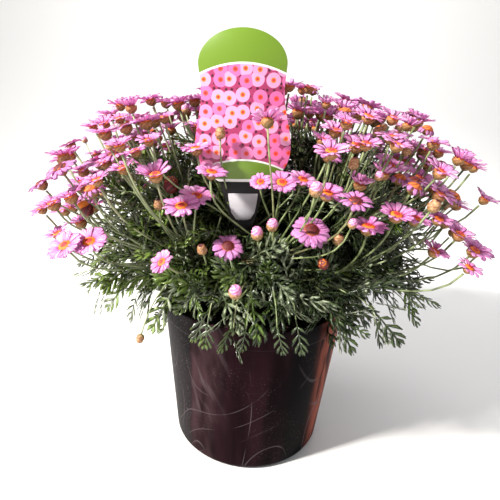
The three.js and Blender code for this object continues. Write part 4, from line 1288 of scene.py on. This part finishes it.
def chip_ribbons(edge):
    """Flat chips that lie about on the mix, each a short ribbon."""
    count = CHIPS.count
    reach = edge * 0.96 * np.sqrt(draw.random(count))
    heading = draw.uniform(0, 2 * np.pi, count)
    x, y = reach * np.cos(heading), reach * np.sin(heading)
    place = np.stack([x, y, mix_top(x, y) + CHIPS.sunk], axis=-1)
    lie = unit(draw.normal(size=(count, 3)) * [1, 1, 0.22])
    half_long = draw.uniform(*CHIPS.half_long, (count, 1)) * MM
    centre = place[:, None] + lie[:, None] * (half_long * np.linspace(-1, 1, 5))[..., None]
    normal = unit(UP + draw.uniform(-0.4, 0.4, (count, 3)))
    half_width = draw.uniform(*CHIPS.half_wide, (count, 1)) * MM * CHIPS.outline
    thick = draw.uniform(*CHIPS.thick, (count, 1)) * MM * CHIPS.body
    return ribbon(centre, normal, half_width, thick, 3)


def make_mix():
    """The mix fills the pot from its floor, under a lumpy top with chips on it."""
    piece = Piece()
    low, high = POT.floor + GAP, POT.foot_round + 3 * MM
    edge, foot = inner_wall(SOIL.edge_height) - MIX_CLEAR, inner_wall(high) - MIX_CLEAR
    lower = [(0, low), (foot - 6 * MM, low), (foot, high), (edge - 0.1 * MM, SOIL.edge_height - 2 * MM)]
    upper = [(edge * share, SOIL.edge_height) for share in np.linspace(1, 0, 40)]
    mound = turned(lower + upper, 96)
    top = mound[:, len(lower):]
    top[..., 2] = mix_top(top[..., 0], top[..., 1])
    piece.add(mound)
    piece.add(chip_ribbons(edge), 1, tone=draw.random((CHIPS.count, 1, 1)))
    piece.build("mix_top", [soil_finish(), chip_finish()], "soil", ["potting_mix"])


def pot_profile():
    """The pot's section from the middle of its base, round its foot, up the wall, over the rim and back
    down inside to the middle of its floor."""
    foot = POT.base_radius - POT.foot_round
    arc = [
        (foot + POT.foot_round * math.cos(angle), POT.foot_round * (1 + math.sin(angle)))
        for angle in np.linspace(-np.pi / 2, 0, 7)
    ]
    outside = [(0, 0), (foot - 2 * MM, 0), *arc, *POT_EDGES.wall_foot, *POT_EDGES.band_foot, *POT_EDGES.rim]
    inner_foot = [(POT.base_radius - POT.wall, POT.foot_round + 2 * MM), *POT_EDGES.inner_foot]
    floor = [(foot - 1 * MM, POT.floor), (POT_EDGES.floor_edge, POT.floor), (0, POT.floor)]
    return [*outside, *POT_EDGES.inside, *inner_foot, *floor]


def make_pot():
    """The pot, with its drain holes drilled through the base."""
    piece = Piece()
    piece.add(turned(pot_profile(), 120))
    pot = piece.build("pot_shell", [pot_finish()], "pot", ["pot"])
    drills = Piece()
    radius, low, high = POT.drain_radius, DRILL.low, DRILL.high
    outline = [(0, low), (radius, low), (radius, high), (0, high)]
    for i in range(DRAINS):
        angle = 2 * math.pi * (i + 0.5) / DRAINS
        middle = POT.drain_circle * np.array([math.cos(angle), math.sin(angle), 0])
        drills.add(turned(outline, 32) + middle)
    drill_tool = drills.build("drain_drills", [], "pot")
    cut = pot.modifiers.new("drains", "BOOLEAN")
    cut.object = drill_tool
    cut.operation = "DIFFERENCE"
    bpy.context.view_layer.update()
    pot.data = bpy.data.meshes.new_from_object(pot.evaluated_get(bpy.context.evaluated_depsgraph_get()))
    pot.modifiers.clear()
    bpy.data.objects.remove(drill_tool)


make_crown()
make_mix()
make_pot()


# Label on its stake

PLATE_ROUND = 0.3 * MM


def make_plate(name, rows, front, thickness, finish, slot, node):
    """A flat plate that stands on its edge and leans with the label: at each height a half width and a
    share of the thickness, with rounded edges. Its marks are its place across and up."""
    height, half, full = np.array(rows, float).T
    deep = full * 0.5 * thickness
    round_x, round_y = np.minimum(PLATE_ROUND, half), np.minimum(PLATE_ROUND, deep)
    corner = np.array([(1, 0), (0.7, 0.7), (0, 1)])
    signs = [(1, 1, corner), (-1, 1, corner[::-1]), (-1, -1, corner), (1, -1, corner[::-1])]
    x = [s * ((half - round_x)[:, None] + round_x[:, None] * way[:, 0]) for s, t, way in signs]
    y = [t * ((deep - round_y)[:, None] + round_y[:, None] * way[:, 1]) for s, t, way in signs]
    x, y = np.concatenate(x, axis=1), np.concatenate(y, axis=1)
    z = np.repeat(height[:, None], x.shape[1], axis=1)
    points = np.stack([
        LABEL.x + x * math.cos(LABEL_LEAN) - z * math.sin(LABEL_LEAN),
        LABEL.y + front + 0.5 * thickness + y,
        LABEL.bottom + x * math.sin(LABEL_LEAN) + z * math.cos(LABEL_LEAN),
    ], axis=-1)
    piece = Piece()
    piece.add(points[None], along=x, across=z)
    piece.build(name, [finish], slot, [node])


def card_rows():
    """The card's side is a smooth curve through its foot, lobe, waist and cap, and its top an arc."""
    side = spline([
        (0, LABEL.foot_half), (0.36 * LABEL.lobe_height, 0.87 * LABEL.lobe_half),
        (LABEL.lobe_height, LABEL.lobe_half), (LABEL.waist_height, LABEL.waist_half),
        (LABEL.cap_height, LABEL.cap_half),
    ], 16)
    turn = np.linspace(0, np.pi / 2, 24)[1:-1]
    top = LABEL.cap_height + (LABEL.height - LABEL.cap_height) * np.sin(turn)
    outline = np.concatenate([side[1:], np.stack([top, LABEL.cap_half * np.cos(turn)], axis=-1)])
    rows = [(height, half, 1) for height, half in outline]
    return [(0, 0, 0), (0, LABEL.foot_half - 0.2 * MM, 0.5), *rows, (LABEL.height, 0, 0)]


def stake_rows():
    """The stake's point, thin stem, neck and broad head, from below."""
    point, head, stem = STAKE.point - LABEL.bottom, STAKE.head_half, STAKE.stem_half
    return [
        (point, 0, 0), (point + STAKE.point_rise, stem, 1), (-STAKE.shoulder - 30 * MM, stem, 1),
        (-STAKE.shoulder, stem, 1), (-STAKE.neck_depth - 3 * MM, 1.6 * stem, 1),
        (-STAKE.neck_depth, STAKE.neck_half, 1), (-STAKE.neck_depth + 2 * MM, STAKE.neck_half + 0.7 * MM, 1),
        (-STAKE.head_foot - 2 * MM, head - 0.6 * MM, 1), (-STAKE.head_foot, head, 1),
        (STAKE.head_top - 0.3 * MM, head, 1), (STAKE.head_top, head - 0.3 * MM, 0.6), (STAKE.head_top, 0, 0),
    ]


def badge_rows():
    """The badge's shield, from its foot to its flat top."""
    foot, top = -BADGE.drop - BADGE.height, -BADGE.drop
    return [
        (foot, 0, 0), (foot + 0.5 * MM, 0.6 * BADGE.bottom_half, 0.8),
        (foot + 1.5 * MM, BADGE.bottom_half, 1), (foot + 0.3 * BADGE.height, BADGE.mid_half, 1),
        (foot + 0.65 * BADGE.height, 0.5 * (BADGE.mid_half + BADGE.top_half) + 0.4 * MM, 1),
        (top - 0.3 * MM, BADGE.top_half, 1), (top, BADGE.top_half - 0.3 * MM, 0.6), (top, 0, 0),
    ]


make_plate("label_face", card_rows(), 0, LABEL.thickness, card_finish(), "label", "label_card")
make_plate(
    "stake_body", stake_rows(), LABEL.thickness + GAP, STAKE.thickness, stake_finish(), "stake",
    "label_stake",
)
make_plate(
    "badge_pad", badge_rows(), LABEL.thickness - BADGE.thickness, BADGE.thickness, badge_finish(), "badge",
    "label_badge",
)


# Floor, lights and camera

SWEEP = SimpleNamespace(front=-3.0, foot=1.7, radius=1.3, top=5.0, half=6.0)
PLANT_MIDDLE = (0, 0, 0.25)
BACKDROP_MIDDLE = (0.0, 3.0, 0.6)


def make_floor():
    """Pale paper that lies flat and sweeps up behind the plant in a quarter circle."""
    turn = np.linspace(0, np.pi / 2, 17)
    line = np.stack([SWEEP.foot + SWEEP.radius * np.sin(turn), SWEEP.radius * (1 - np.cos(turn))], axis=-1)
    line = np.concatenate([[(SWEEP.front, 0)], line, [(SWEEP.foot + SWEEP.radius, SWEEP.top)]])
    corners = [(side * SWEEP.half, y, z) for y, z in line for side in (-1, 1)]
    mesh = bpy.data.meshes.new("floor")
    mesh.from_pydata(corners, [], [(i, i + 1, i + 3, i + 2) for i in range(0, len(corners) - 2, 2)])
    mesh.polygons.foreach_set("use_smooth", [True] * len(mesh.polygons))
    mesh.materials.append(Finish("floor_paper").done((0.80, 0.79, 0.78), 0.9))
    floor = bpy.data.objects.new("floor", mesh)
    bpy.context.scene.collection.objects.link(floor)


def stand(holder, place, right, upward, back):
    """Stands a lamp or a camera at a place, with its own axes along three directions."""
    rows = [[*row, offset] for row, offset in zip(np.stack([right, upward, back], axis=1), place)]
    holder.matrix_world = Matrix([*rows, [0, 0, 0, 1]])
    bpy.context.scene.collection.objects.link(holder)


def area_light(name, place, aim, size, power, colour):
    """A square soft light that shines from a place towards an aim."""
    lamp = bpy.data.lights.new(name, "AREA")
    lamp.size, lamp.energy, lamp.color = size, power, colour
    away = unit(np.array(place) - np.array(aim))
    stand(bpy.data.objects.new(name, lamp), place, *square_to(away), away)


def make_world():
    """Even, slightly cool light from all round."""
    world = bpy.data.worlds.new("studio")
    world.use_nodes = True
    background = world.node_tree.nodes["Background"]
    background.inputs["Color"].default_value = (0.93, 0.95, 0.97, 1)
    background.inputs["Strength"].default_value = 0.46
    bpy.context.scene.world = world


def make_camera():
    """The camera at the photograph's place and angle, rolled about its line of sight."""
    level = unit(np.cross(CAMERA.forward, UP))
    above = np.cross(level, CAMERA.forward)
    right = math.cos(CAMERA.roll) * level + math.sin(CAMERA.roll) * above
    upward = math.cos(CAMERA.roll) * above - math.sin(CAMERA.roll) * level
    lens = bpy.data.cameras.new("view")
    lens.lens, lens.sensor_width = CAMERA.lens, CAMERA.sensor
    lens.clip_start, lens.clip_end = 0.02, 40
    camera = bpy.data.objects.new("view", lens)
    stand(camera, CAMERA.place, right, upward, -CAMERA.forward)
    bpy.context.scene.camera = camera


make_floor()
area_light("key", (-1.4, -0.85, 1.5), PLANT_MIDDLE, 0.18, 98, (1.0, 0.97, 0.92))
area_light("backdrop", (0.0, 1.2, 2.8), BACKDROP_MIDDLE, 2.0, 45, (1.0, 1.0, 1.0))
area_light("fill", (1.6, -1.5, 0.9), PLANT_MIDDLE, 1.6, 4, (0.93, 0.96, 1.0))
area_light("back", (0.8, 1.8, 1.6), PLANT_MIDDLE, 1.2, 10, (1.0, 1.0, 1.0))
make_world()
make_camera()
bpy.context.scene.view_settings.view_transform = "Standard"
